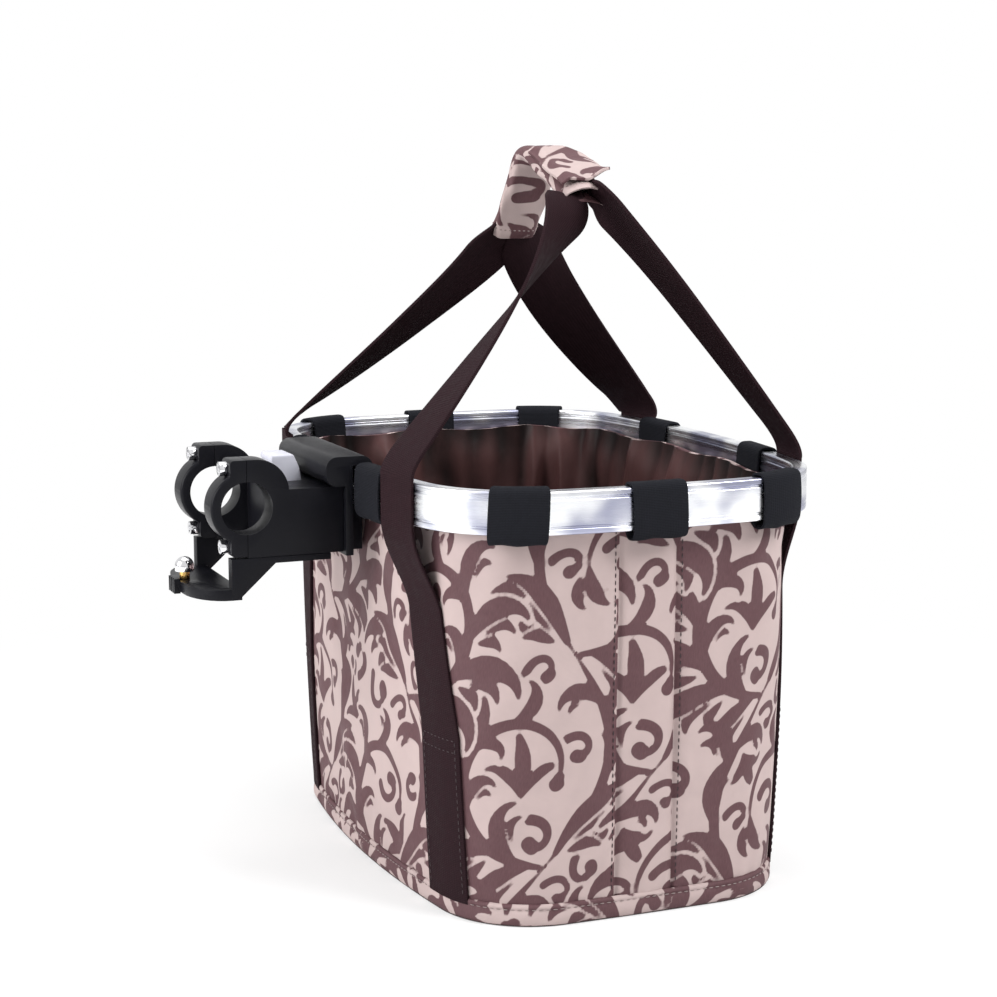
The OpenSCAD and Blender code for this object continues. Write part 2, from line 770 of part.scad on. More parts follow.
screw_head_r = 2 * bracket_screw_r;
screw_head_t = 1.8;
module bracket_screws() {
    color("silver")
        for (side = [-1, 1]) {
            x = side * bracket_screw_span / 2;
            y_rod(x, bracket_screw_z, bracket_screw_r, keeper_front + fit, plate_rear - screw_head_t);
            y_rod(x, bracket_screw_z, screw_head_r, plate_rear - screw_head_t, plate_rear);
        }
}

// Places of the adapter, from the bracket backwards
bar_y = rim_rear + bar_back;
bar_z = rim_top - bar_drop;
housing_front = plate_rear + fit;
housing_rear = housing_front + housing_d;
housing_top = bar_bottom - fit;
housing_bottom = housing_top - housing_h;
housing_w = ring_span + ring_w;
ring_inner = ring_span - ring_w;
ear_edge = 3;
ear_round = 2.5;
ear_top = bar_z + bolt_off + bolt_r + ear_edge;
ear_bottom = bar_z - bolt_off - bolt_r - ear_edge;
nut_t = 4;
nut_r = 1.85 * bolt_r;
nut_set = 7;
nut_y = bar_y - nut_set;
bolt_past = 1;
bolt_end = nut_y - nut_t - bolt_past;
bolt_head_t = 4.8;
bolt_head_r = 1.7 * bolt_r;
bolt_key_r = 0.95 * bolt_r;
saddle_face = bar_y - ring_split / 2;
cap_face = bar_y + ring_split / 2;
ear_run = 6;
hump_r = 20;
ring_round = 2;

// Both rings' places
module at_rings() {
    for (side = [-1, 1])
        translate([side * ring_span / 2, 0, 0])
            children();
}
// Both bolts' heights
bolt_zs = [bar_z - bolt_off, bar_z + bolt_off];

// Side view of a saddle: half a bore between two ears, with a round hump down to the housing
module saddle_profile() {
    difference() {
        union() {
            translate([bar_y - ear_run, ear_top - hump_r]) circle(hump_r);
            translate([bar_y - ear_run, housing_bottom]) square([ear_run, ear_top - housing_bottom]);
            translate([housing_rear, housing_bottom]) square([bar_y - housing_rear, housing_h]);
        }
        translate([housing_front, housing_bottom]) square([housing_d, housing_h]);
        translate([saddle_face, bar_z - 3 * ring_r]) square([3 * ring_r, 6 * ring_r]);
        translate([bar_y, bar_z]) circle(bar_r);
    }
}

// Button's places
button_set = 15.5;
button_front = housing_front + button_set;
stem_rear = button_front + button_stem_d;
pocket_floor_t = 3.3;
pocket_floor = housing_bottom + pocket_floor_t;
spring_room = 13.5;
stem_bottom = pocket_floor + spring_room;
pocket_step_d = 8;
pocket_step = housing_top - pocket_step_d;
button_lean = 9;
button_waist = 1.5;
button_brow = 5;
button_lip = 3;
button_nose = 2;

module adapter_housing() {
    color(black_colour)
        difference() {
            union() {
                mid_box(housing_w, [housing_front, housing_bottom], [housing_rear, housing_top]);
                mid_box(rail_neck_w, [plate_rear - rail_t, housing_bottom],
                    [housing_front + eps, slot_top - fit]);
                mid_box(rail_head_w, [slot_front + fit, housing_bottom],
                    [plate_rear - rail_t, slot_top - fit]);
            }
            mid_box(button_w + 2 * fit, [button_front - fit, pocket_floor],
                [stem_rear + fit, housing_top + cut]);
            mid_box(button_w + 2 * fit, [button_front - fit, pocket_step],
                [stem_rear + button_lean, housing_top + cut]);
            mid_box(latch_w + 2 * fit, [plate_rear - groove_depth, latch_z - button_travel - fit],
                [button_front, latch_z + latch_h + fit]);
            fixing_rods(fixing_r + screw_fit, housing_bottom - cut, fixing_top);
        }
}

// Half of a clamp on the housing's rear, with its nuts' pockets
module clamp_saddle() {
    color(black_colour)
        difference() {
            along_x(ring_w) saddle_profile();
            for (z = bolt_zs) {
                y_rod(0, z, bolt_r + screw_fit, bolt_end - cut, bar_y);
                box([-nut_r - fit, nut_y - nut_t - fit, z - nut_r * sin(60) - screw_fit],
                    [nut_r + fit, nut_y + fit, z + nut_r * sin(60) + screw_fit]);
            }
        }
}
module clamp_saddle_left() translate([-ring_span / 2, 0, 0]) clamp_saddle();
module clamp_saddle_right() translate([ring_span / 2, 0, 0]) clamp_saddle();

// Clamp ring with round outer edges
module ring_band() {
    translate([0, bar_y, bar_z])
        rotate([0, 90, 0])
            rotate_extrude()
                round_square([bar_r - 2 * ring_round, -ring_w / 2], [ring_r, ring_w / 2], ring_round);
}
module clamp_cap() {
    color(black_colour)
        difference() {
            union() {
                ring_band();
                along_x(ring_w)
                    round_square([bar_y - ear_t, ear_bottom], [bar_y + ear_t, ear_top], ear_round);
            }
            along_x(ring_w + 2 * cut) {
                translate([bar_y - 3 * ring_r, bar_z - 3 * ring_r])
                    square([3 * ring_r + ring_split / 2, 6 * ring_r]);
                translate([bar_y, bar_z]) circle(bar_r);
            }
            for (z = bolt_zs)
                y_rod(0, z, bolt_r + screw_fit, bar_y - cut, bar_y + ear_t + cut);
        }
}
module clamp_cap_left() translate([-ring_span / 2, 0, 0]) clamp_cap();
module clamp_cap_right() translate([ring_span / 2, 0, 0]) clamp_cap();

module clamp_bolts() {
    color("silver")
        at_rings() for (z = bolt_zs) {
            head = bar_y + ear_t;
            difference() {
                union() {
                    y_rod(0, z, bolt_r, bolt_end, head);
                    y_rod(0, z, bolt_head_r, head, head + bolt_head_t);
                }
                translate([0, head + bolt_head_t / 2, z])
                    rotate([-90, 0, 0])
                        cylinder(r = bolt_key_r, h = bolt_head_t, $fn = 6);
            }
        }
}

module clamp_nuts() {
    color("silver")
        at_rings() for (z = bolt_zs)
            difference() {
                translate([0, nut_y - nut_t, z])
                    rotate([-90, 0, 0])
                        cylinder(r = nut_r, h = nut_t, $fn = 6);
                y_rod(0, z, bolt_r + screw_fit, nut_y - nut_t - cut, nut_y + cut);
            }
}

// Stay: a flange under the housing, two arms down to a lip that rests against the stem
stay_top = housing_bottom - fit;
stay_bottom = housing_bottom - stay_drop;
flange_set = 8;
arm_run = 17;
arm_front = bar_y - arm_run;
arm_foot = 4;
lip_root = 6;
arm_rear = bar_y + ear_t;
lip_end = arm_rear + lip_reach;
lip_tip_w = 26;
lip_steps = 8;
nub_w = 14;
nub_t = 3;
nub_low = 1;
nub_high = 1.5;
nub_ribs = 4;
nub_rib_w = nub_w / (2 * nub_ribs - 1);
nub_rib_t = 0.8;
fixing_r = 1.7;
fixing_span = 0.7 * housing_w;
fixing_set = 24;
fixing_y = housing_front + fixing_set;
fixing_depth = 9;
fixing_top = housing_bottom + fixing_depth;
fixing_head_t = 2;

module fixing_rods(r, from, to) {
    for (side = [-1, 1])
        translate([side * fixing_span / 2, fixing_y, from])
            cylinder(r = r, h = to - from);
}

// One side of the lip's outline, from the arm round to the tip
function lip_side(side) = [for (i = [0 : lip_steps])
    let (angle = 90 * i / lip_steps)
    [side * mix(lip_tip_w / 2, housing_w / 2, cos(angle)), arm_rear + lip_reach * sin(angle)]];
module stay_nub() {
    low = stay_bottom - nub_low;
    high = lip_top + nub_high;
    face = lip_end + nub_t;
    mid_box(nub_w, [lip_end - eps, low], [face, high]);
    for (i = [0 : nub_ribs - 1])
        translate([(2 * i + 0.5) * nub_rib_w - nub_w / 2, 0, 0])
            mid_box(nub_rib_w, [face - eps, low], [face + nub_rib_t, high]);
}

module stay_arm() {
    color(black_colour)
        difference() {
            union() {
                mid_box(housing_w, [housing_front + flange_set, stay_top - stay_t], [arm_front, stay_top]);
                for (side = [-1, 1])
                    translate([side * (housing_w - stay_arm_w) / 2, 0, 0])
                        along_x(stay_arm_w)
                            polygon([
                                [arm_front - eps, stay_top - stay_t],
                                [arm_rear - arm_foot, stay_bottom], [arm_rear, stay_bottom],
                                [arm_rear, stay_top], [arm_front - eps, stay_top]
                            ]);
                translate([0, 0, stay_bottom])
                    linear_extrude(lip_t)
                        polygon(concat(
                            [[-housing_w / 2, arm_rear - lip_root], [housing_w / 2, arm_rear - lip_root]],
                            lip_side(1), backwards(lip_side(-1))));
                stay_nub();
            }
            fixing_rods(fixing_r + screw_fit, stay_bottom, stay_top + cut);
            dome_rod(dome_shank_r + screw_fit, stay_bottom - cut, lip_top + cut);
        }
}

module stay_fixings() {
    color("silver") {
        fixing_rods(fixing_r, stay_top - stay_t, fixing_top - cut);
        fixing_rods(2 * fixing_r, stay_top - stay_t - fixing_head_t, stay_top - stay_t);
    }
}

// Dome-headed screw through the lip, with a sleeve that a safety cable is clamped under
dome_set = 4.5;
dome_y = lip_end - dome_set;
dome_shank_r = 2;
sleeve_h = 5;
sleeve_t = 1;
lip_top = stay_bottom + lip_t;
dome_h = 9;
module dome_rod(r, from, to) {
    translate([0, dome_y, from]) cylinder(r = r, h = to - from);
}
module dome_screw() {
    head = lip_top + sleeve_h;
    color("silver") {
        dome_rod(dome_shank_r, stay_bottom, head + eps);
        dome_rod(dome_r, head, head + dome_h - dome_r);
        translate([0, dome_y, head])
            intersection() {
                translate([0, 0, dome_h - dome_r]) sphere(dome_r);
                cylinder(r = dome_r, h = dome_h + cut);
            }
    }
}
module cable_sleeve() {
    color("goldenrod")
        difference() {
            dome_rod(dome_shank_r + screw_fit + sleeve_t, lip_top, lip_top + sleeve_h);
            dome_rod(dome_shank_r + screw_fit, lip_top - cut, lip_top + sleeve_h + cut);
        }
}

// Release button: a stem in the housing's pocket, a leaning thumb piece and a latch tooth to the bracket
module release_button() {
    top = housing_top + button_rise;
    color("#c9c9d4") {
        along_x(button_w)
            polygon([
                [button_front, stem_bottom], [stem_rear, stem_bottom], [stem_rear, housing_top],
                [stem_rear + button_lean - button_waist, top - button_lip],
                [stem_rear + button_lean - button_nose, top], [button_front + button_brow, top],
                [button_front + button_waist, housing_top + button_rise / 2],
                [button_front, housing_top]
            ]);
        mid_box(latch_w, [plate_rear - groove_depth + fit, latch_z], [button_front + eps, latch_z + latch_h]);
    }
}

// Coil spring under the button's stem: one tube of wire, with its ends flat on the floor and the stem
spring_turns = 5;
spring_rings = 8;
spring_sides = 6;
spring_y = (button_front + stem_rear) / 2;
spring_low = pocket_floor + spring_wire / 2 + eps;
spring_high = stem_bottom - spring_wire / 2 - eps;
spring_pitch = (spring_high - spring_low) / spring_turns;
function spring_point(k) =
    let (turn = k / spring_rings, angle = 360 * turn)
    [spring_r * cos(angle), spring_y + spring_r * sin(angle), spring_low + spring_pitch * turn];
function spring_ring(k) =
    let (c = spring_point(k), angle = 360 * k / spring_rings, out = [cos(angle), sin(angle), 0])
    [for (j = [0 : spring_sides - 1])
        let (a = -360 * j / spring_sides)
        c + spring_wire / 2 * (out * cos(a) + [0, 0, sin(a)])];
echo(spring_least_gap = spring_pitch - spring_wire);
module button_spring() {
    color("silver") swept([for (k = [0 : spring_turns * spring_rings]) spring_ring(k)]);
}

base_panel();
base_board();
base_hem();
front_wall();
rear_wall();
left_gusset();
right_gusset();
side_lining();
floor_lining();
top_piping();
rear_left_wall_strap();
rear_right_wall_strap();
front_left_wall_strap();
front_right_wall_strap();
rim_hoop();
rim_splice();
bracket_shell();
bracket_keeper();
bracket_screws();
loop_left_middle();
loop_left_rear();
loop_left_front();
loop_right_middle();
loop_right_rear();
loop_right_front();
loop_rear_left();
loop_rear_right();
loop_front_left();
loop_front_right();
rear_left_strap();
rear_right_strap();
front_left_strap();
front_right_strap();
rear_strap_top();
front_strap_top();
grip_wrap();
loop_tape();
grip_flap();
hook_tape();
adapter_housing();
clamp_saddle_left();
clamp_saddle_right();
clamp_cap_left();
clamp_cap_right();
clamp_bolts();
clamp_nuts();
stay_arm();
stay_fixings();
dome_screw();
cable_sleeve();
release_button();
button_spring();
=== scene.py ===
import json
import math

import bpy
import numpy as np
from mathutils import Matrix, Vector

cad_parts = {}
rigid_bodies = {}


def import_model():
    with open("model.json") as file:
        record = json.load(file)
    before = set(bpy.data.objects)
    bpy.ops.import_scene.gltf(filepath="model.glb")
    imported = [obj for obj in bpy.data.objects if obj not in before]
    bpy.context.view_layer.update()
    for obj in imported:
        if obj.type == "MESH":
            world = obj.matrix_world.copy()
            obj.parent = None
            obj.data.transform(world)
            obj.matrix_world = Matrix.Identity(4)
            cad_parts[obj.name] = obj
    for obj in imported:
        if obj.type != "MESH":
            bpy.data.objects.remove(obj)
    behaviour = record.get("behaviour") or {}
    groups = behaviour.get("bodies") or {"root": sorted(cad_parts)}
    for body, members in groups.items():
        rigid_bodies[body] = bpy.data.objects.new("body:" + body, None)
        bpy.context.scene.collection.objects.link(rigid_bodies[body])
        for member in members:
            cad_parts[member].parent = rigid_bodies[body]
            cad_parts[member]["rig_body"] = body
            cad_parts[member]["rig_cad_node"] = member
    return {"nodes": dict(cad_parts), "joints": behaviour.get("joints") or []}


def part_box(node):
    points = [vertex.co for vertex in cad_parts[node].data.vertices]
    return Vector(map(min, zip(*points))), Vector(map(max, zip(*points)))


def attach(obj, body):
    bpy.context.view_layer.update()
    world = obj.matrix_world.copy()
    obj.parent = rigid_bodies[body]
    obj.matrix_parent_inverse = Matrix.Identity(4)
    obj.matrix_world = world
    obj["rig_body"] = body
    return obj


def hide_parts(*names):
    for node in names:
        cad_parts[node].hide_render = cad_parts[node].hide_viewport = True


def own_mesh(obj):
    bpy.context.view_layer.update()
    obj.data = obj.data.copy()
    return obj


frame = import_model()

bl_info = {
    "name": "Handlebar Basket",
    "version": (1, 0, 0),
    "blender": (4, 5, 0),
    "location": "View3D > Sidebar > Basket",
    "description": "Builds a folding handlebar basket on its packed frame",
    "category": "Add Mesh",
}

# Shared lengths, in metres
CLEAR = 0.0003  # air between pieces that lie on each other
PROUD = 0.0001  # how far stitches stand out of the face that they are sewn into
THREAD = 0.00035  # radius of a stitch
SEAM = 0.01865  # from the middle of an end to the seam beside it
SEAM_FADE = 0.012  # width beside a seam over which the relief of the cloth comes up
STRAP_ON_WALL = 0.128  # from the middle of a long wall to the centre of a strap, where it is sewn down
STRAP_ON_RIM = 0.108  # the same at the rim
STRAP_CALM = 0.021  # from the centre of a strap, cloth that it holds flat
STRAP_FADE = 0.014  # width beside that over which the ripples come up
PUCKER = 0.00035  # depth of the puckers above the hem
PUCKER_FADE = 0.018  # height over which they fade
GRIP_BEND = 0.016  # radius of the bend at the peak of the grip
GRIP_DROOP = 0.0075  # how far the sides of the near mouth of the grip hang down
SMALL = 1e-6  # points that are nearer than this are one

# Ripples of the cloth: share of their depth, radians in a metre across and up, and where they start
RIPPLES = ((1.0, 47.0, 21.0, 0.4), (0.8, -71.0, 38.0, 2.1), (0.6, 118.0, -52.0, 0.9),
           (0.45, -160.0, -95.0, 1.7), (0.35, 27.0, 190.0, 3.0))
# The corner of each strap: whether it is on the right, and whether it is at the rear
CORNERS = {"rear_left": (False, True), "rear_right": (True, True), "front_left": (False, False),
           "front_right": (True, False)}
# Which way each strap lies where it enters the grip, and how soon it turns that way
STRAP_TURNS = {"rear_left": ((0, 1, 0), 1.15), "rear_right": ((0, -1, 0), 0.45),
               "front_left": ((-0.95, 0, 0.3), 0.7), "front_right": ((-0.3, 0.95, 0), 0.45)}

# Lights: name, place, target, size in metres and power in watts
LIGHTS = (("key", (-1.1, -0.9, 1.5), (0, 0, 0.15), 0.9, 33),
          ("fill", (-0.1, 1.6, 0.8), (0, 0, 0.15), 1.0, 27),
          ("top", (0.2, 0.1, 1.9), (0, 0, 0.2), 1.2, 16))
CAMERA_PLACE, CAMERA_TARGET = (-1.2783, 0.5476, 0.4453), (0.00785, 0.0183, 0.2228)
CAMERA_LENS, CAMERA_SENSOR = 78.6, 36  # millimetres


class BasketBag(bpy.types.PropertyGroup):
    """Sizes of the cloth bag"""

    wall_thick: bpy.props.FloatProperty(
        name="Wall", description="Thickness of the padded wall", default=0.0022, unit="LENGTH")
    belly: bpy.props.FloatProperty(
        name="Belly", description="How far the walls stand out half way up", default=0.0016, unit="LENGTH")
    ripple: bpy.props.FloatProperty(
        name="Ripple", description="Depth of the cloth's soft ripples", default=0.0009, unit="LENGTH")
    fold: bpy.props.FloatProperty(
        name="Lining fold", description="Depth of the lining's folds", default=0.009, unit="LENGTH")
    print_width: bpy.props.FloatProperty(
        name="Print width", description="Width of the print's repeat", default=0.27, unit="LENGTH")
    print_height: bpy.props.FloatProperty(
        name="Print height", description="Height of the print's repeat", default=0.25, unit="LENGTH")


class BasketRim(bpy.types.PropertyGroup):
    """Sizes of the outlines and the rim's section"""

    corner: bpy.props.FloatProperty(
        name="Rim corner", description="Radius of the rim's corners", default=0.07, unit="LENGTH")
    long_bow: bpy.props.FloatProperty(
        name="Rim long bow", description="Radius of the rim's long sides", default=0.762, unit="LENGTH")
    short_bow: bpy.props.FloatProperty(
        name="Rim short bow", description="Radius of the rim's short sides", default=0.616, unit="LENGTH")
    base_corner: bpy.props.FloatProperty(
        name="Base corner", description="Radius of the base's corners", default=0.06, unit="LENGTH")
    base_long_bow: bpy.props.FloatProperty(
        name="Base long bow", description="Radius of the base's long sides", default=0.88, unit="LENGTH")
    base_short_bow: bpy.props.FloatProperty(
        name="Base short bow", description="Radius of the base's short sides", default=2.4, unit="LENGTH")
    thick: bpy.props.FloatProperty(
        name="Thickness", description="Thickness of the rim", default=0.009, unit="LENGTH")
    groove: bpy.props.FloatProperty(
        name="Groove", description="Depth of the rim's grooves", default=0.0008, unit="LENGTH")


class BasketWebbing(bpy.types.PropertyGroup):
    """Sizes of the straps and loops"""

    width: bpy.props.FloatProperty(
        name="Strap", description="Width of a strap", default=0.038, unit="LENGTH")
    thick: bpy.props.FloatProperty(
        name="Thickness", description="Thickness of a strap", default=0.0019, unit="LENGTH")
    loop_width: bpy.props.FloatProperty(
        name="Loop", description="Width of a loop round the rim", default=0.034, unit="LENGTH")
    loop_thick: bpy.props.FloatProperty(
        name="Loop thickness", description="Thickness of a loop", default=0.0016, unit="LENGTH")
    sewn: bpy.props.FloatProperty(
        name="Sewn height", description="Height up to which straps are sewn", default=0.11, unit="LENGTH")
    lies: bpy.props.FloatProperty(
        name="Lying height", description="Height up to which straps lie flat", default=0.18, unit="LENGTH")


class BasketColours(bpy.types.PropertyGroup):
    """Colours of the materials"""

    cloth: bpy.props.FloatVectorProperty(
        name="Cloth", description="Ground of the print", default=(0.44, 0.346, 0.335), subtype="COLOR")
    ink: bpy.props.FloatVectorProperty(
        name="Print", description="Print on the cloth", default=(0.092, 0.043, 0.0485), subtype="COLOR")
    strap: bpy.props.FloatVectorProperty(
        name="Straps", description="Carrying straps", default=(0.0178, 0.0086, 0.0108), subtype="COLOR")
    loop: bpy.props.FloatVectorProperty(
        name="Loops", description="Loops round the rim", default=(0.011, 0.0114, 0.0145), subtype="COLOR")
    lining: bpy.props.FloatVectorProperty(
        name="Lining", description="Satin inside the bag", default=(0.05, 0.022, 0.0215), subtype="COLOR")
    plastic: bpy.props.FloatVectorProperty(
        name="Plastic", description="Bracket and clamp", default=(0.0056, 0.0056, 0.0078), subtype="COLOR")
    button: bpy.props.FloatVectorProperty(
        name="Button", description="Release button", default=(0.55, 0.55, 0.62), subtype="COLOR")
    metal: bpy.props.FloatVectorProperty(
        name="Rim", description="Aluminium of the rim", default=(0.86, 0.87, 0.89), subtype="COLOR")


GROUPS = {"basket_bag": BasketBag, "basket_rim": BasketRim, "basket_webbing": BasketWebbing,
          "basket_colours": BasketColours}


def sizes(group):
    """One of the scene's property groups, by its short name."""
    return getattr(bpy.context.scene, "basket_" + group)


class Wire:
    """A shader socket that takes part in sums."""

    def __init__(self, tree, socket):
        self.tree = tree
        self.socket = socket

    def sum_of(self, operation, *values):
        node = self.tree.nodes.new("ShaderNodeMath")
        node.operation = operation
        for place, value in zip(node.inputs, values):
            plug(self.tree, place, value)
        return Wire(self.tree, node.outputs[0])

    def __add__(self, other):
        return self.sum_of("ADD", self, other)

    def __sub__(self, other):
        return self.sum_of("SUBTRACT", self, other)

    def __rsub__(self, other):
        return self.sum_of("SUBTRACT", other, self)

    def __mul__(self, other):
        return self.sum_of("MULTIPLY", self, other)

    __radd__ = __add__
    __rmul__ = __mul__


def plug(tree, place, value):
    """Links a wire to a socket, or sets the socket to a plain value."""
    if isinstance(value, Wire):
        tree.links.new(value.socket, place)
    elif place.type == "RGBA" and len(value) == 3:
        place.default_value = (*value, 1.0)
    else:
        place.default_value = value


class Finish:
    """A material built round one Principled shader."""

    def __init__(self, name, **constants):
        self.material = bpy.data.materials.new(name)
        self.material.use_nodes = True
        self.tree = self.material.node_tree
        self.shader = self.tree.nodes["Principled BSDF"]
        self.set(**constants)

    def set(self, **values):
        for name, value in values.items():
            plug(self.tree, self.shader.inputs[name.replace("_", " ")], value)

    def add(self, kind, settings=None, inputs=None, output=0):
        """Any node, its settings, its inputs by name or number, and the output that is used."""
        node = self.tree.nodes.new("ShaderNode" + kind)
        for name, value in (settings or {}).items():
            setattr(node, name, value)
        for name, value in (inputs or {}).items():
            plug(self.tree, node.inputs[name], value)
        return Wire(self.tree, node.outputs[output])

    def noise(self, place, scale, detail=3.0):
        return self.add("TexNoise", None, {"Vector": place, "Scale": scale, "Detail": detail})

    def mix(self, share, low, high):
        """From one colour to another, by the numbers of a Mix node's colour sockets."""
        return self.add("Mix", {"data_type": "RGBA"}, {0: share, 6: low, 7: high}, 2)

    def tint(self, share, colour, low, high):
        """From a darker to a lighter tint of one colour."""
        return self.mix(share, *(tuple(min(1.0, c * part) for c in colour) for part in (low, high)))

    def ramp(self, value, low, high, to_low, to_high):
        """A soft step from one value to another."""
        return self.add("MapRange", {"interpolation_type": "SMOOTHSTEP"},
                        {0: value, 1: low, 2: high, 3: to_low, 4: to_high})

    def bump(self, height, distance, strength):
        values = {"Height": height, "Distance": distance, "Strength": strength}
        self.set(Normal=self.add("Bump", None, values))

    def on_mesh(self, name):
        """A value that is kept on the mesh."""
        return self.add("Attribute", {"attribute_name": name}, None, "Fac")

    def place(self):
        return self.add("TexCoord", None, None, "Object")

    def cloth_place(self, across, along):
        """The cloth's own coordinates in metres, times a scale for each way."""
        uv = self.add("UVMap", {"uv_map": "Cloth"})
        return self.add("Mapping", None, {"Vector": uv, "Scale": (across, along, 1.0)})

    def waves(self, place, way):
        """Ribs one unit apart, along one way of the cloth."""
        return self.add("TexWave", {"bands_direction": way, "wave_profile": "SIN"},
                        {"Vector": place, "Scale": math.pi / 10, "Distortion": 0.25, "Detail": 1.0}, 1)


def make_finishes():
    """All the materials, by name."""
    colours = sizes("colours")
    made = {}

    # Printed cloth: the print is the sign of a distance kept on the mesh
    f = Finish("printed_cloth", Specular_IOR_Level=0.3)
    fade = f.noise(f.place(), 95.0)
    threads = f.noise(f.cloth_place(1600.0, 260.0), 1.0, 1.0)
    share = f.ramp(f.on_mesh("ink") + (fade - 0.5) * 0.5, -0.35, 0.35, 1.0, 0.0)
    ground = f.tint(fade, colours.cloth, 0.92, 1.07)
    brown = f.tint(threads, colours.ink, 0.78, 1.25)
    f.set(Base_Color=f.mix(share, ground, brown), Roughness=f.ramp(fade, 0.3, 0.7, 0.62, 0.74))
    weave = f.cloth_place(1400.0, 1400.0)
    f.bump(f.waves(weave, "X") + f.waves(weave, "Y"), 0.00012, 0.35)
    made["cloth"] = f.material

    # Webbing, with ribs across and rows of threads along
    for name, colour, pitch, rough in (("strap", colours.strap, 900.0, 0.72),
                                       ("loop", colours.loop, 1100.0, 0.8)):
        f = Finish(name + "_webbing", Specular_IOR_Level=0.05)
        weave = f.cloth_place(pitch * 0.55, pitch)
        ribs, rows = f.waves(weave, "Y"), f.waves(weave, "X")
        wear = f.noise(f.place(), 160.0)
        f.set(Base_Color=f.tint(ribs * 0.5 + wear * 0.5, colour, 0.6, 1.5),
              Roughness=f.ramp(wear, 0.3, 0.7, rough - 0.06, rough + 0.08))
        f.bump(ribs * 0.7 + rows * 0.4, 0.00025, 0.7)
        made[name] = f.material

    # Satin lining, with painted shade between its folds and a painted highlight on their ridges: the mesh
    # keeps their depth where the printed cloth keeps its ink
    f = Finish("satin_lining", Specular_IOR_Level=0.16)
    crease = f.noise(f.cloth_place(60.0, 34.0), 1.0, 4.0)
    # ridge: from painted shade in the hollows of the folds (0.08 of the lining colour) to a painted highlight
    # on their ridges (1.5 of it)
    ridge = f.ramp(f.on_mesh("ink") + crease * 0.5, 0.2, 1.1, 0.0, 1.0)
    f.set(Base_Color=f.tint(ridge, colours.lining, 0.08, 1.5), Roughness=f.ramp(crease, 0.3, 0.7, 0.44, 0.6))
    f.bump(crease, 0.0016, 0.5)
    made["lining"] = f.material

    # Dark cloth under the base
    f = Finish("base_cloth")
    cloud = f.noise(f.place(), 220.0)
    f.set(Base_Color=f.mix(cloud, (0.018, 0.011, 0.011), (0.045, 0.026, 0.026)),
          Roughness=f.ramp(cloud, 0, 1, 0.7, 0.9))
    f.bump(cloud, 0.0002, 0.6)
    made["base"] = f.material

    # Thread
    for name, colour, low, high, rough in (("thread", colours.cloth, 0.42, 0.68, 0.7),
                                           ("dark_thread", colours.strap, 0.7, 1.9, 0.6)):
        f = Finish(name, Roughness=rough)
        f.set(Base_Color=f.tint(f.noise(f.place(), 900.0), colour, low, high))
        made[name] = f.material

    # Drawn aluminium, with streaks along the rim and a painted reflection: soft patches of bluish grey and
    # bright in its colour
    f = Finish("aluminium", Metallic=1.0)
    streaks = f.noise(f.cloth_place(500.0, 3.0), 1.0, 2.0)
    # Painted reflection: soft patches where the rim's colour goes from bluish grey to bright, standing in for
    # the room mirrored in it
    cloud = f.ramp(f.noise(f.cloth_place(30.0, 22.0), 1.0, 2.0), 0.4, 0.6, 0.0, 1.0)
    painted_dark_reflection, painted_bright_reflection = (0.36, 0.37, 0.48), tuple(min(1.0, c * 1.04) for c in colours.metal)
    f.set(Base_Color=f.mix(cloud, painted_dark_reflection, painted_bright_reflection), Roughness=f.ramp(streaks, 0.25, 0.75, 0.24, 0.32))
    made["rim"] = f.material

    # Moulded plastic with a fine grain
    for name, colour, rough in (("plastic", colours.plastic, 0.32), ("button", colours.button, 0.4)):
        f = Finish(name, Specular_IOR_Level=0.11)
        grain = f.noise(f.place(), 2600.0, 2.0)
        cloud = f.noise(f.place(), 55.0)
        f.set(Base_Color=f.tint(cloud, colour, 0.85, 1.15),
              Roughness=f.ramp(grain + cloud * 0.4, 0.4, 1.0, rough - 0.05, rough + 0.1))
        f.bump(grain, 0.00008, 0.4)
        made[name] = f.material

    # Turned and plated metals
    for name, colour, low, high in (("chrome", (0.8, 0.8, 0.82), 0.08, 0.2),
                                    ("steel", (0.5, 0.5, 0.52), 0.25, 0.42),
                                    ("brass", (0.78, 0.5, 0.17), 0.2, 0.36)):
        f = Finish(name, Metallic=1.0)
        cloud = f.noise(f.place(), 420.0)
        f.set(Base_Color=f.tint(cloud, colour, 0.85, 1.1), Roughness=f.ramp(cloud, 0.3, 0.7, low, high))
        made[name] = f.material

    # Hook and loop tape
    f = Finish("tape", Roughness=0.95)
    fuzz = f.noise(f.place(), 1500.0)
    f.set(Base_Color=f.tint(fuzz, colours.strap, 0.7, 2.2))
    f.bump(fuzz, 0.0006, 0.9)
    made["tape"] = f.material
    return made


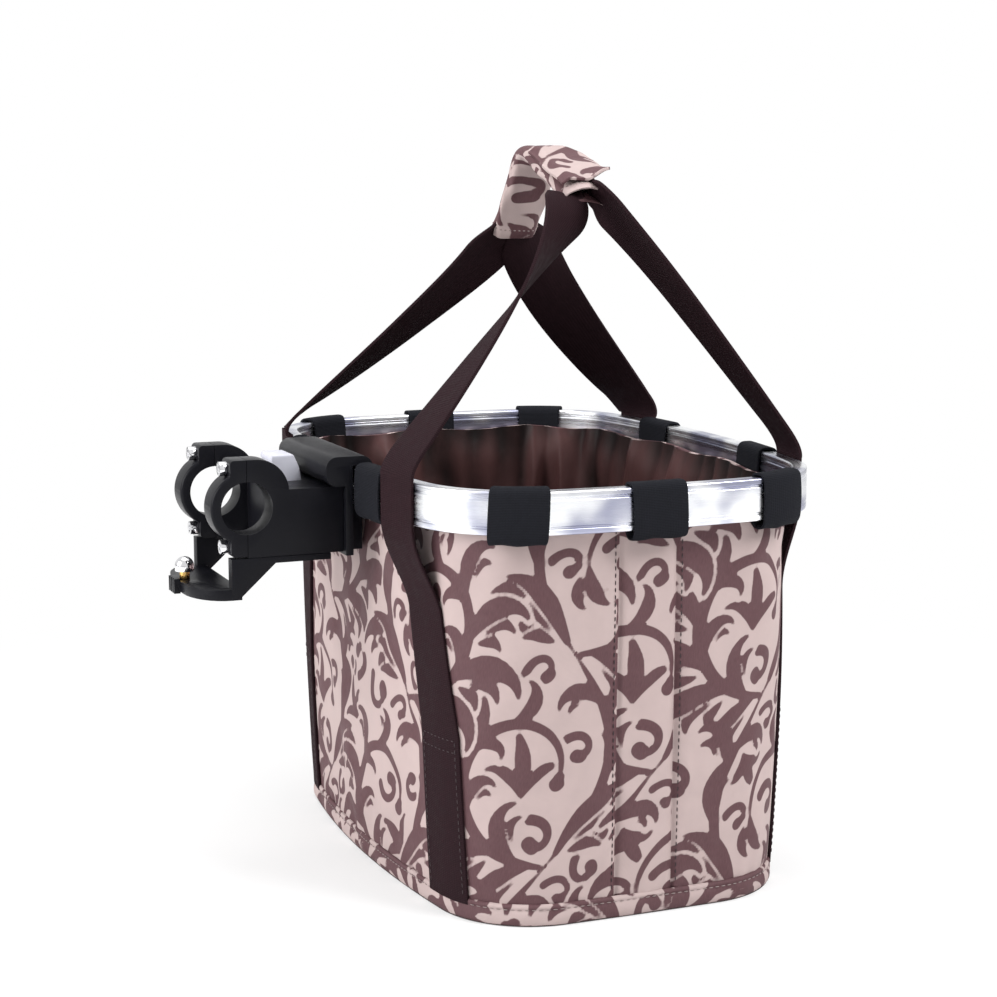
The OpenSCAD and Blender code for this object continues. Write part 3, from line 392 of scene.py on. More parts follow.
class Print:
    """A scroll-leaf print on a repeating tile: millimetres to the ink's edge, below zero in the ink."""

    step = 0.5  # grid of the tile
    far = 12.0  # largest distance that is kept
    gap = 2.6  # ground between two motifs
    slit = 2.0  # ground between the lobes of a leaf
    thinnest = 2.2  # slimmer ink is dropped
    narrowest = 2.0  # slimmer ground is inked
    crisp = 1.2  # least distance of what those two turned, so that its edge stays sharp
    sway = 30  # how far a vine swings to each side
    scroll_length, scroll_turn = 196, 4.9  # of a scroll's stem, the turn in radians
    rooms = (9.5, 8.0, 6.8)  # radii of the open places that are filled
    sprigs, tries = 34, 5  # sprigs for each radius, and tries for each sprig
    spoilt = 0.1  # share of a sprig that may be cut away
    # Lobes: shares of the leaf's span and width, how far apart they set off, and the width a leaf has to pass
    lobes = ((1.0, 0.72, -0.1, 0), (0.72, 0.6, 0.34, 11), (0.5, 0.5, 0.85, 16))
    # Leaves along a stem: share of its length, side, span, width, spread and hook
    scroll_leaves = ((0.05, -1, 46, 15, 0.4, 1.5), (0.10, 1, 46, 14, 0.35, 2.2),
                     (0.18, -1, 54, 19, 0.4, 1.9), (0.30, -1, 58, 20, 0.3, 1.9),
                     (0.33, 1, 36, 12, 0.3, 2.6), (0.43, -1, 52, 18, 0.35, 2.0),
                     (0.55, 1, 27, 10, 0.35, 2.6), (0.56, -1, 44, 16, 0.35, 2.1),
                     (0.70, -1, 34, 13, 0.35, 2.1))
    tip_leaves = ((1.0, 1, 28, 12, 0.0, 1.0), (1.0, 1, 27, 11, 0.75, -1.6), (1.0, -1, 27, 11, 0.75, -1.6))
    vine_leaves = ((0.03, 1, 60, 17, 0.25, -1.1), (0.10, -1, 54, 18, 0.3, 2.0), (0.20, -1, 42, 14, 0.3, -1.4),
                   (0.33, -1, 44, 15, 0.3, 2.2), (0.38, 1, 36, 13, 0.3, 2.3), (0.53, -1, 60, 17, 0.25, -1.1),
                   (0.60, 1, 54, 18, 0.3, 2.0), (0.70, 1, 42, 14, 0.3, -1.4), (0.83, 1, 44, 15, 0.3, 2.2),
                   (0.88, -1, 36, 13, 0.3, 2.3))

    def __init__(self, width, height):
        self.size = np.array([width, height])
        self.count = np.round(self.size / self.step).astype(int)
        self.ink = np.full(self.count[::-1], self.far)
        self.add(self.vine(0.25 * width, 0))
        self.add(self.vine(0.75 * width, 0.16 * height))
        self.fill(np.random.default_rng(3))
        self.clean(self.thinnest / 2, (np.maximum, np.minimum))
        self.clean(self.narrowest / 2, (np.minimum, np.maximum))

    def stroke(self, points, radii):
        """Distance to a run of tapered strokes, wrapped round the tile."""
        field = np.full_like(self.ink, self.far)
        for a, b, ra, rb in zip(points[:-1], points[1:], radii[:-1], radii[1:]):
            reach = max(ra, rb) + self.far
            low = np.floor((np.minimum(a, b) - reach) / self.step).astype(int)
            high = np.ceil((np.maximum(a, b) + reach) / self.step).astype(int)
            cols, rows = np.arange(low[0], high[0]), np.arange(low[1], high[1])
            x, y = cols * self.step - a[0], (rows * self.step - a[1])[:, None]
            e = b - a
            t = np.clip((x * e[0] + y * e[1]) / max(e @ e, 1e-9), 0, 1)
            away = np.hypot(x - t * e[0], y - t * e[1]) - (ra + t * (rb - ra))
            at = np.ix_(rows % self.count[1], cols % self.count[0])
            field[at] = np.minimum(field[at], away)
        return field

    @staticmethod
    def walk(root, angle, length, turn, steps, ease):
        """A path that sets off at an angle and turns more and more."""
        t = np.linspace(0, 1, steps + 1)
        heading = angle + turn * ((t[1:] + t[:-1]) / 2) ** ease
        moves = np.stack([np.cos(heading), np.sin(heading)], 1) * (length / steps)
        return np.concatenate([[root], root + np.cumsum(moves, 0)]), t, np.append(heading, heading[-1])

    def leaf(self, root, angle, length, width, turn):
        """A leaf that is widest before its middle and has a hooked tip."""
        points, t, _ = self.walk(root, angle, length, turn, 14, 2.0)
        body = np.minimum(1, (t + 0.2) / 0.62) ** 0.9 * np.minimum(1, (1 - t) / 0.5 + 0.2)
        return self.stroke(points, width / 2 * body)

    def tendril(self, root, angle, length, width, turn):
        """A tendril that rolls up into a knob."""
        points, t, _ = self.walk(root, angle, length, turn, 20, 1.6)
        radii = width / 2 * (1 - 0.4 * t)
        radii[-3:] = 0.66 * width
        return self.stroke(points, radii)

    def leaves(self, points, heads, side, rows):
        """Leaves along a stem, the wider ones with more lobes."""
        made = np.full_like(self.ink, self.far)
        for share, way, span, width, spread, hook in rows:
            i = round(share * (len(points) - 1))
            out = side * way
            for long, wide, apart, least in self.lobes:
                if width <= least:
                    break
                angle = heads[i] + out * spread + math.copysign(apart, out * hook)
                one = self.leaf(points[i], angle, long * span, wide * width, out * hook * (1 - 0.35 * apart))
                made = np.minimum(made, np.maximum(one, self.slit - made))
        return made

    def scroll(self, root, angle, side, tip):
        """A leafy stem that curls in on itself and ends in a tip of leaves or a knob."""
        points, t, heads = self.walk(root, angle, self.scroll_length, side * self.scroll_turn, 60, 1.5)
        radii = 1.1 + 3.0 * np.sin(math.pi * t ** 0.8) ** 0.8
        made = np.minimum(self.stroke(points, radii), self.leaves(points, heads, side, self.scroll_leaves))
        if tip:
            return np.minimum(made, self.leaves(points, heads, side, self.tip_leaves))
        return np.minimum(made, self.stroke(points[-2:], np.array([3.5, 5.2])))

    def vine(self, x, low):
        """A wavy stem up the tile with leaves, and a scroll in each of its two bends."""
        y = np.linspace(0, self.size[1], 61)
        wave = 2 * np.pi * y / self.size[1]
        points = np.stack([x + self.sway * np.sin(wave), low + y], 1)
        move = np.gradient(points, axis=0)
        heads = np.arctan2(move[:, 1], move[:, 0])
        made = np.minimum(self.stroke(points, 0.8 + 3.0 * np.abs(np.sin(wave))),
                          self.leaves(points, heads, 1, self.vine_leaves))
        for start, side in ((0, 1), (30, -1)):
            made = np.minimum(made, self.scroll(points[start], math.pi / 2 + side * 1.5, -side, side > 0))
        return made

    def add(self, field):
        """Adds ink, a gap clear of what is there."""
        self.ink = np.minimum(self.ink, np.maximum(field, self.gap - self.ink))

    def sprig(self, middle, room, chance):
        """A tendril, or a leaf between two smaller ones, for an open place."""
        angle = chance.uniform(0, 2 * math.pi)
        way = chance.choice([-1, 1])
        length = chance.uniform(3.4, 4.6) * room
        ahead = np.array([math.cos(angle), math.sin(angle)])
        if chance.uniform() < 0.5:
            return self.tendril(middle - 0.35 * length * ahead, angle, length, 0.62 * room + 1.0, way * 4.0)
        root = middle - 0.5 * length * ahead
        made = self.leaf(root, angle, length, 1.05 * room, 0.5 * way)
        for side in (-1, 1):
            made = np.minimum(made, self.leaf(root, angle + 0.5 * side, 0.8 * length, 0.8 * room, 1.6 * side))
        return made

    def fill(self, chance):
        """Puts sprigs into the open places, where they fit with little cut away."""
        for room in np.repeat(self.rooms, self.sprigs):
            rows, cols = np.nonzero(self.ink > room)
            if len(rows) == 0:
                continue
            i = chance.integers(len(rows))
            for _ in range(self.tries):
                one = self.sprig(np.array([cols[i], rows[i]]) * self.step, room, chance)
                if np.sum((one < 0) & (self.ink < self.gap)) < self.spoilt * np.sum(one < 0):
                    self.add(one)
                    break

    def clean(self, radius, order):
        """Drops ink, or with the order turned round gaps, thinner than twice a radius."""
        reach = int(radius / self.step)
        disc = [(i, j) for i in range(-reach, reach + 1) for j in range(-reach, reach + 1)
                if i * i + j * j <= (radius / self.step) ** 2]
        before = self.ink
        for keep in order:
            field = self.ink
            for move in disc:
                self.ink = keep(self.ink, np.roll(field, move, (0, 1)))
        turned = (before < 0) != (self.ink < 0)
        self.ink = np.where(turned, np.sign(self.ink) * np.maximum(np.abs(self.ink), self.crisp), self.ink)

    def at(self, x, y):
        """Distances at places on the cloth, in millimetres."""
        u, v = np.asarray(x) / self.step, np.asarray(y) / self.step
        i, j = np.floor(u).astype(int), np.floor(v).astype(int)
        du, dv = u - i, v - j
        nx, ny = self.count

        def cell(a, b):
            return self.ink[(j + b) % ny, (i + a) % nx]

        return ((cell(0, 0) * (1 - du) + cell(1, 0) * du) * (1 - dv)
                + (cell(0, 1) * (1 - du) + cell(1, 1) * du) * dv)


def smooth(t):
    t = np.clip(t, 0, 1)
    return t * t * (3 - 2 * t)


def unit(v):
    return v / np.linalg.norm(v, axis=-1, keepdims=True)


def upright(way):
    """The way up beside a way along the grip, in XZ."""
    return np.stack([way[..., 1], -way[..., 0]], -1)


def run_along(path):
    """Distances of a path's points from its start."""
    return np.concatenate([[0], np.cumsum(np.linalg.norm(np.diff(path, axis=0), axis=1))])


def resampled(path, count):
    """Points spaced evenly along a path."""
    run = run_along(path)
    at = np.linspace(0, run[-1], count)
    return np.stack([np.interp(at, run, path[:, k]) for k in range(path.shape[1])], 1)


def rounded(points, radii, steps):
    """A closed run of points with its corners rounded."""
    points = np.asarray(points, float)
    made = []
    for k, (p, r) in enumerate(zip(points, radii)):
        a, b = unit(points[k - 1] - p), unit(points[(k + 1) % len(points)] - p)
        for t in np.linspace(0, 1, steps):
            made.append(p + r * (a * (1 - t) ** 2 + b * t ** 2))
    return np.array(made)


def raised(xy, z):
    """XYZ points from plan points and their heights."""
    shape = np.broadcast_shapes(xy.shape[:-1], np.shape(z))
    return np.concatenate([np.broadcast_to(xy, (*shape, 2)), np.broadcast_to(z, shape)[..., None]], -1)


def closed(points):
    """A table of points whose last column is the first."""
    points[:, -1] = points[:, 0]
    return points


# The middle line of the grip in XZ: far end, peak, near end, the ways up and down, and where its bend is over
GRIP_FAR = np.array([0.027, 0.392])
GRIP_PEAK = np.array([-0.014, 0.446])
GRIP_NEAR = np.array([-0.086, 0.420])
FAR_WAY, NEAR_WAY = unit(GRIP_PEAK - GRIP_FAR), unit(GRIP_NEAR - GRIP_PEAK)
GRIP_TURN = math.acos(FAR_WAY @ NEAR_WAY)
GRIP_BACK = GRIP_BEND * math.tan(GRIP_TURN / 2)
BEND_OVER = GRIP_PEAK + NEAR_WAY * GRIP_BACK
# A quarter of an outline has three arcs, and so four ends of arcs
ARC_ENDS = np.arange(4)


def quartered(u):
    """The quarter of an outline that a place is in, and the place from the middle of its long side."""
    w = np.mod(u, 12)
    k = np.floor(w / 3).astype(int) % 4
    return k, np.choose(k, [w, 6 - w, w - 6, 12 - w])


class Outline:
    """A bowed rectangle with round corners. A place u runs 0 to 12, clockwise from the rear middle."""

    def __init__(self, half_w, half_d, corner, long_bow, short_bow):
        p, q = np.array([0, half_d - long_bow]), np.array([half_w - short_bow, 0])
        reach_p, reach_q = long_bow - corner, short_bow - corner
        span = np.linalg.norm(q - p)
        e = (q - p) / span
        m = (reach_p ** 2 - reach_q ** 2 + span ** 2) / (2 * span)
        h = math.sqrt(reach_p ** 2 - m ** 2)
        middle = p + m * e + h * np.array([e[1], -e[0]])
        long_angle, short_angle = math.asin(middle[0] / reach_p), math.asin(middle[1] / reach_q)
        self.knots = np.array([0, long_angle, math.pi / 2 - short_angle, math.pi / 2])
        self.centres = np.array([p, middle, q])
        self.radii = np.array([long_bow, corner, short_bow])
        self.runs = np.concatenate([[0], np.cumsum(self.radii * np.diff(self.knots))])
        self.round = 4 * self.runs[-1]

    def point(self, u, off):
        """The plan point at a place, moved outwards."""
        u, off = np.broadcast_arrays(np.asarray(u, float), off)
        k, q = quartered(u)
        arc = np.clip(np.ceil(q).astype(int) - 1, 0, 2)
        angle = np.interp(q, ARC_ENDS, self.knots)
        r = self.radii[arc] + off
        x = self.centres[arc, 0] + r * np.sin(angle)
        y = self.centres[arc, 1] + r * np.cos(angle)
        return np.stack([np.where(k < 2, x, -x), np.where((k == 0) | (k == 3), y, -y)], -1)

    def run(self, u):
        """Distance along the outline from the rear middle."""
        u = np.asarray(u, float)
        w = np.mod(u, 12)
        k = np.floor(w / 3)
        q = w - 3 * k
        part = np.where(k % 2 == 0, np.interp(q, ARC_ENDS, self.runs),
                        self.runs[-1] - np.interp(3 - q, ARC_ENDS, self.runs))
        return part + k * self.runs[-1] + np.floor(u / 12) * self.round

    def place(self, distance):
        """The place at a distance along the outline."""
        d = np.asarray(distance, float)
        k = np.floor(d / self.runs[-1])
        rest = d - k * self.runs[-1]
        q = np.where(k % 2 == 0, np.interp(rest, self.runs, ARC_ENDS),
                     3 - np.interp(self.runs[-1] - rest, self.runs, ARC_ENDS))
        return q + 3 * k

    def corner(self, distance, right, rear):
        """The place at a distance from the middle of a long side, towards one of the four corners."""
        q = self.runs[-1]
        if right:
            return self.place(distance if rear else 2 * q - distance)
        return self.place(4 * q - distance if rear else 2 * q + distance)


class Measures:
    """What the pieces share: the two outlines, the walls between them, the print and the finishes."""

    def __init__(self):
        rim, base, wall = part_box("rim_hoop"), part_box("base_hem"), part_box("front_wall")
        s = sizes("rim")
        self.rim_low, self.rim_high = rim[0].z, rim[1].z
        self.low, self.high = wall[0].z, wall[1].z
        self.hem_high = base[1].z
        self.rim = Outline(rim[1].x, -rim[0].y, s.corner, s.long_bow, s.short_bow)
        self.base = Outline(base[1].x, base[1].y, s.base_corner, s.base_long_bow, s.base_short_bow)
        self.rim_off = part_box("right_gusset")[1].x - rim[1].x
        self.base_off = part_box("base_panel")[1].x - base[1].x
        bag = sizes("bag")
        self.print = Print(1000 * bag.print_width, 1000 * bag.print_height)
        self.finish = make_finishes()

    def base_place(self, u):
        """The base's place under a place of the rim: the same, but for the seams, which keep their width."""
        k, q = quartered(u)
        at = [3 - SEAM / (o.runs[3] - o.runs[2]) for o in (self.rim, self.base)]
        q = np.interp(q, [0, 2, at[0], 3], [0, 2, at[1], 3])
        return np.choose(k, [q, 6 - q, 6 + q, 12 - q]) + 12 * np.floor(np.asarray(u) / 12)

    def between(self, u_base, u_rim, z, off):
        """A point on a straight line from a place of the base to a place of the rim."""
        u_base, u_rim, z, off = np.broadcast_arrays(u_base, u_rim, z, off)
        t = ((z - self.low) / (self.high - self.low))[..., None]
        low = self.base.point(u_base, self.base_off + off)
        high = self.rim.point(u_rim, self.rim_off + off)
        return raised(low + (high - low) * t, z)

    def wall(self, u, z, off):
        """A point of the wall: its place round the rim, its height and how far out of the wall's face."""
        return self.between(self.base_place(u), u, z, off)

    def along(self, u):
        """Distance round the cloth, half way up."""
        return (self.rim.run(u) + self.base.run(self.base_place(u))) / 2

    def share(self, z):
        return np.clip((z - self.low) / (self.high - self.low), 0, 1)

    def held(self, z):
        """Nought at the wall's two edges, which are sewn, and one between them."""
        return smooth(self.share(z) / 0.14) * smooth((1 - self.share(z)) / 0.1)

    def strap_line(self, z):
        """How far from the middle of a long wall a strap runs: plumb where it is sewn, then in to the rim."""
        return np.interp(z, [sizes("webbing").sewn, self.rim_low], [STRAP_ON_WALL, STRAP_ON_RIM])

    def swell(self, z):
        """The belly of the wall."""
        return sizes("bag").belly * np.sin(np.pi * self.share(z)) * self.held(z)

    def relief(self, u, z):
        """How far the cloth stands out: its belly, and ripples and puckers, which the straps hold flat."""
        s = self.along(u)
        waves = sum(depth * np.sin(across * s + up * z + phase) for depth, across, up, phase in RIPPLES)
        fade = np.exp(-np.maximum(z - self.hem_high, 0) / PUCKER_FADE)
        pucker = fade * np.sin(370 * s + 2 * np.sin(60 * s))
        aside = np.abs(np.abs(self.wall(u, z, 0.0)[..., 0]) - self.strap_line(z))
        calm = smooth((aside - STRAP_CALM) / STRAP_FADE)
        return self.swell(z) + calm * (sizes("bag").ripple * waves * self.held(z) + PUCKER * pucker)

    def printed(self, cloth, shift):
        """Ink at cloth coordinates in metres, shifted by millimetres, with a slight drift of the cloth."""
        x, y = 1000 * cloth[..., 0] + shift[0], 1000 * cloth[..., 1] + shift[1]
        return self.print.at(x + 1.5 * np.sin(y / 31), y + 1.5 * np.sin(x / 37))


def top_wave(d, t=1.0):
    """How the bag's top edge rises and falls along the rim, at a share of the wall's height."""
    return 0.001 * np.sin(75 * d) * smooth((t - 0.9) / 0.1)


# Steps for edit: joining points, joining flat faces, and turning faces outwards
JOIN = (bpy.ops.mesh.remove_doubles, {"threshold": SMALL})
FLATTEN = (bpy.ops.mesh.dissolve_limited, {"angle_limit": math.radians(0.5)})
FACE_OUT = (bpy.ops.mesh.normals_make_consistent, {"inside": False})


def deselect():
    bpy.ops.object.select_all(action="DESELECT")


def only(obj):
    deselect()
    obj.select_set(True)
    bpy.context.view_layer.objects.active = obj


def edit(obj, *steps):
    """Runs mesh operators on the whole of an object."""
    only(obj)
    bpy.ops.object.mode_set(mode="EDIT")
    for operator, values in steps:
        bpy.ops.mesh.select_all(action="SELECT")
        operator(**values)
    bpy.ops.object.mode_set(mode="OBJECT")
    return obj


def modify(obj, kind, **values):
    """Adds a modifier and applies it."""
    only(obj)
    modifier = obj.modifiers.new(kind.title(), kind)
    for name, value in values.items():
        setattr(modifier, name, value)
    bpy.ops.object.modifier_apply(modifier=modifier.name)
    return obj


def thicken(obj, thick, offset=-1.0):
    return modify(obj, "SOLIDIFY", thickness=thick, offset=offset, use_even_offset=True)


def soften(obj, width, segments=2, angle=60.0, **values):
    """Rounds the edges that are sharper than an angle."""
    return modify(obj, "BEVEL", width=width, segments=segments, limit_method="ANGLE",
                  angle_limit=math.radians(angle), **values)


def done(obj, material, body, angle=40.0, nodes=()):
    """Smooths a finished piece, gives it its material and its body, and hides the CAD nodes that it stands
    for.
    """
    only(obj)
    bpy.ops.object.shade_smooth_by_angle(angle=math.radians(angle))
    obj.data.materials.clear()
    obj.data.materials.append(material)
    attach(obj, body)
    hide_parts(*nodes)
    return obj


def flat_cloth(across, up):
    """Cloth coordinates from two tables."""
    return np.stack(np.broadcast_arrays(across, up), -1)


def lofted(name, points, cloth, ink=None):
    """A grid laid through a table of points: rows, columns, XYZ. Cloth holds its flat places in metres. Ink
    is a value kept on the mesh: the print's distance on printed cloth, and on the lining the folds' depth,
    which its satin paints as shade.
    """
    rows, columns = points.shape[0] - 1, points.shape[1] - 1
    deselect()
    bpy.ops.mesh.primitive_grid_add(x_subdivisions=columns, y_subdivisions=rows, size=1)
    obj = bpy.context.object
    obj.name = name
    mesh = obj.data
    mesh.name = name
    co = np.empty(len(mesh.vertices) * 3)
    mesh.vertices.foreach_get("co", co)
    co = co.reshape(-1, 3)
    i = np.rint((co[:, 0] + 0.5) * columns).astype(int)
    j = np.rint((co[:, 1] + 0.5) * rows).astype(int)
    mesh.vertices.foreach_set("co", points[j, i].ravel())
    layer = mesh.uv_layers[0]
    layer.name = "Cloth"
    corner = np.empty(len(mesh.loops), int)
    mesh.loops.foreach_get("vertex_index", corner)
    layer.uv.foreach_set("vector", cloth[j[corner], i[corner]].astype(np.float32).ravel())
    if ink is not None:
        mesh.attributes.new("ink", "FLOAT", "POINT").data.foreach_set("value", ink[j, i].astype(np.float32))
    mesh.update()
    return obj


def thread_row(name, runs, material, body, radius=THREAD):
    """Rows of stitches: each run holds the ends of its stitches in turn, as start, end, start, end."""
    deselect()
    bpy.ops.mesh.primitive_uv_sphere_add(segments=6, ring_count=6, radius=1)
    bead = bpy.context.object
    local = np.array([v.co for v in bead.data.vertices])
    # Sorted, because the primitive's faces come in another order each run
    faces = sorted(tuple(p.vertices) for p in bead.data.polygons)
    bpy.data.objects.remove(bead)
    ends = np.concatenate([np.asarray(r).reshape(-1, 2, 3) for r in runs])
    middle, half = ends.mean(1), (ends[:, 1] - ends[:, 0]) / 2
    along = unit(half)
    aside = unit(np.cross(along, np.where(np.abs(along[:, 2:]) < 0.9, [[0, 0, 1]], [[1, 0, 0]])))
    axes = np.stack([radius * aside, radius * np.cross(along, aside), half], 1)
    verts = middle[:, None] + local @ axes
    mesh = bpy.data.meshes.new(name)
    mesh.from_pydata(verts.reshape(-1, 3).tolist(), [],
                     [tuple(k * len(local) + v for v in f) for k in range(len(ends)) for f in faces])
    obj = bpy.data.objects.new(name, mesh)
    bpy.context.collection.objects.link(obj)
    return done(edit(obj, JOIN, FACE_OUT), material, body, 80)


def stitch_marks(start, end):
    """Distances of stitches along a row: the start and end of each."""
    pitch, share = 0.0042, 0.66
    count = max(1, int((end - start) / pitch))
    at = start + (np.arange(count) + 0.5) * (end - start) / count
    half = share * (end - start) / count / 2
    return np.stack([at - half, at + half], 1).ravel()


def give_way(obj, joint, anchor, top):
    """Reads how far a sliding joint lets the top of a piece that stands on an anchor go down, and gives the
    piece its own mesh; the share that it would shorten to is worked out but not used, so the piece does not
    shorten.
    """
    travel = next(j for j in frame["joints"] if j["name"] == joint)["range_m"][1]
    least = 0.02
    max(least, 1 - travel / (top - anchor))
    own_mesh(obj)


def fold_with_bag(obj, anchor, top):
    """Calls give_way for a soft piece of the bag, with the basket's fold joint."""
    give_way(obj, "basket_fold", anchor, top)


def make_walls(m):
    """The two long walls and the strip in the middle of each end, printed and padded, and their seams."""
    rim = m.rim
    quarter = rim.runs[-1]
    # Where each starts and ends along the rim, and the shift of its print in millimetres
    panels = {"front_wall": (quarter + SEAM, 3 * quarter - SEAM, (20, 40)),
              "rear_wall": (3 * quarter + SEAM, 5 * quarter - SEAM, (151, 128)),
              "right_gusset": (quarter - SEAM, quarter + SEAM, (66, 190)),
              "left_gusset": (3 * quarter - SEAM, 3 * quarter + SEAM, (214, 77))}
    edge = np.array([0, 0.0005, 0.001, 0.0016, 0.0024, 0.0034, 0.0048])  # columns beside a seam
    pitch, rows, lift = 0.0012, 201, 0.002
    dip, dip_width, spare = 0.0019, 0.0022, 0.0004
    for name, (start, end, shift) in panels.items():
        count = max(8, int((end - start - 2 * edge[-1]) / pitch))
        d = np.concatenate([start + edge[:-1], np.linspace(start + edge[-1], end - edge[-1], count),
                            end - edge[-2::-1]])[None]
        u = rim.place(d)
        t = np.linspace(0, 1, rows)[:, None]
        z = m.low + lift + (m.high - m.low - lift) * t
        near = np.minimum(d - start, end - d)
        off = m.relief(u, z) * smooth(near / SEAM_FADE) - dip * np.exp(-(near / dip_width) ** 2)
        z = z + top_wave(d, t)
        s = m.along(u)
        cloth = flat_cloth(s + (rim.run(u) - s) * (t - 0.5), z)
        obj = lofted(name + "_cloth", m.wall(u, z, off)[:, ::-1], cloth[:, ::-1],
                     m.printed(cloth, shift)[:, ::-1])
        thicken(obj, sizes("bag").wall_thick - spare)
        done(obj, m.finish["cloth"], "base", 50, [name])
        fold_with_bag(obj, m.low, m.high)
    beside = 0.0032
    marks = stitch_marks(m.hem_high + 0.004, m.rim_low)
    for side, middle in (("right", quarter), ("left", 3 * quarter)):
        runs = []
        for way in (-1, 1):
            u = rim.place(np.full(len(marks), middle + way * (SEAM + beside)))
            runs.append(m.wall(u, marks, m.relief(u, marks) * smooth(beside / SEAM_FADE) + PROUD))
        obj = thread_row(side + "_seam_stitches", runs, m.finish["dark_thread"], "base")
        fold_with_bag(obj, m.low, m.high)


def make_hem(m):
    """The rolled hem round the base, its stitches and the dark cloth under the bag."""
    # Out of the base's outline and up
    profile = np.array([(-0.0016, 0.0136), (-0.0007, 0.0134), (0.0, 0.0127), (0.0002, 0.0117),
                        (-0.0003, 0.0105), (0.0002, 0.0093), (0.0006, 0.0074), (0.0007, 0.0054),
                        (0.0005, 0.0034), (0.0, 0.0019), (-0.0008, 0.0009), (-0.0018, 0.0006)])
    stitch_z = 0.0105
    knots = np.linspace(0, 1, len(profile))
    t = np.linspace(0, 1, 23)
    off, z = (np.interp(t, knots, profile[:, k])[:, None] for k in (0, 1))
    d = np.linspace(0, m.base.round, 521)[None]
    belly = np.exp(-((z - 0.006) / 0.004) ** 2)
    sewn = np.exp(-((z - stitch_z) / 0.0016) ** 2)
    off = off + 0.0005 * belly * np.sin(180 * d + 1.5 * np.sin(37 * d)) + 0.00025 * np.sin(900 * d) * sewn
    points = closed(raised(m.base.point(m.base.place(d), off), z))
    cloth = flat_cloth(d, z)
    obj = edit(lofted("base_hem_cloth", points, cloth, m.printed(cloth, (95, 15))), JOIN)
    thicken(obj, 0.0007)
    done(obj, m.finish["cloth"], "base", 60, ["base_hem"])
    marks = stitch_marks(0, m.base.round)
    row = raised(m.base.point(m.base.place(marks), 0.0), stitch_z)
    thread_row("hem_stitches", [row], m.finish["thread"], "base")

    # Shares of the base's outline, and heights, from the middle underneath to the middle on top
    rows = ((0.0, 0.0), (0.93, 0.0), (0.99, 0.0), (1.0, 0.0004), (1.0, 0.0011), (0.99, 0.0015), (0.9, 0.0016),
            (0.0, 0.0016))
    edge = m.base.point(m.base.place(np.linspace(0, m.base.round, 261)), -0.0007)
    points = np.stack([raised(edge * share, z) for share, z in rows])
    obj = edit(lofted("base_bottom", points, points[..., :2]), JOIN, FACE_OUT)
    done(obj, m.finish["base"], "base", 40, ["base_panel"])


def make_lining(m):
    """The satin lining with its folds, the floor and the piping round the top."""
    bag = sizes("bag")
    chance = np.random.default_rng(23)
    rim = m.rim
    columns, rows, folds = 621, 56, 34
    deepest, satin, over = 0.016, 0.0005, 0.0032
    inset = bag.wall_thick + 0.0012  # from the wall's outer face to the satin
    d = np.linspace(0, rim.round, columns)[None]
    u = rim.place(d)
    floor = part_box("side_lining")[0].z
    t = np.linspace(0, 1, rows)[:, None]
    z = floor + (m.high + over - floor) * t
    inward = np.zeros((rows, columns))
    for k in range(folds):
        middle = rim.round * (k + chance.uniform(-0.4, 0.4)) / folds
        width, lean = chance.uniform(0.007, 0.018), chance.uniform(-0.07, 0.07)
        depth = chance.uniform(0.25, 1.0)
        high, low = chance.uniform(0.55, 1.0), chance.uniform(0.0, 0.5)
        bend = chance.uniform(-0.015, 0.015)
        gap = d - middle - lean * (t - 0.6) - bend * np.sin(5 * t)
        gap = np.mod(gap + rim.round / 2, rim.round) - rim.round / 2
        ridge = np.exp(-np.abs(gap / (width * (0.7 + 0.9 * (1 - t)))) ** 1.5)
        inward += bag.fold * depth * ridge * smooth((t - low * 0.3) / 0.5) * smooth((1.06 - t) / (0.2 * high))
    inward += bag.fold * 0.22 * (1 + np.sin(96 * d + 9 * t)) * smooth(t / 0.3) * smooth((1 - t) / 0.1)
    inward += bag.fold * 0.10 * (1 + np.sin(310 * d - 5 * t)) * smooth((t - 0.5) / 0.5)
    off = -inset - np.minimum(inward, deepest)
    off = np.minimum(off, m.relief(u, z) - bag.wall_thick - 0.0004)
    points = closed(m.wall(u, z + top_wave(d, t), off))
    # The folds' depth goes into the mesh's ink attribute, which the satin turns into painted shade in the
    # hollows and a painted highlight on the ridges
    obj = lofted("side_lining_satin", points, flat_cloth(d, z), np.clip(inward / bag.fold, 0, 1.2))
    thicken(edit(obj, JOIN), satin, 1.0)
    done(obj, m.finish["lining"], "base", 70, ["side_lining"])
    fold_with_bag(obj, floor, m.high)

    u = m.base.place(np.linspace(0, m.base.round, 241))
    edge = m.base.point(u, m.base_off - inset)
    xy = edge[None] * np.linspace(0, 1, 40)[:, None, None]
    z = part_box("floor_lining")[0].z + 0.0008
    z = z + 0.0005 * np.sin(60 * xy[..., 0] + 20 * xy[..., 1]) * np.sin(50 * xy[..., 1])
    # A fixed fold depth of 0.4 in the ink attribute gives the floor's satin an even middle tone of its
    # painted fold shade
    obj = lofted("floor_lining_satin", raised(xy, z)[:, ::-1], xy[:, ::-1], np.full(z.shape, 0.4))
    thicken(edit(obj, JOIN), satin)
    done(obj, m.finish["lining"], "base", 60, ["floor_lining"])

    d = np.linspace(0, rim.round, 421)[None]
    turn = np.linspace(0, 2 * math.pi, 13)[:, None]
    half_w, half_h = 0.002, 0.0015
    z = m.high + half_h + top_wave(d) + half_h * np.sin(turn)
    points = closed(m.wall(rim.place(d), z, -(bag.wall_thick + 0.0014) / 2 + half_w * np.cos(turn)))
    points[-1] = points[0]
    cloth = flat_cloth(d, half_w * turn)
    obj = edit(lofted("top_piping_cord", points, cloth, m.printed(cloth, (31, 160))), JOIN, FACE_OUT)
    done(obj, m.finish["cloth"], "base", 60, ["top_piping"])
    fold_with_bag(obj, m.low, m.high)


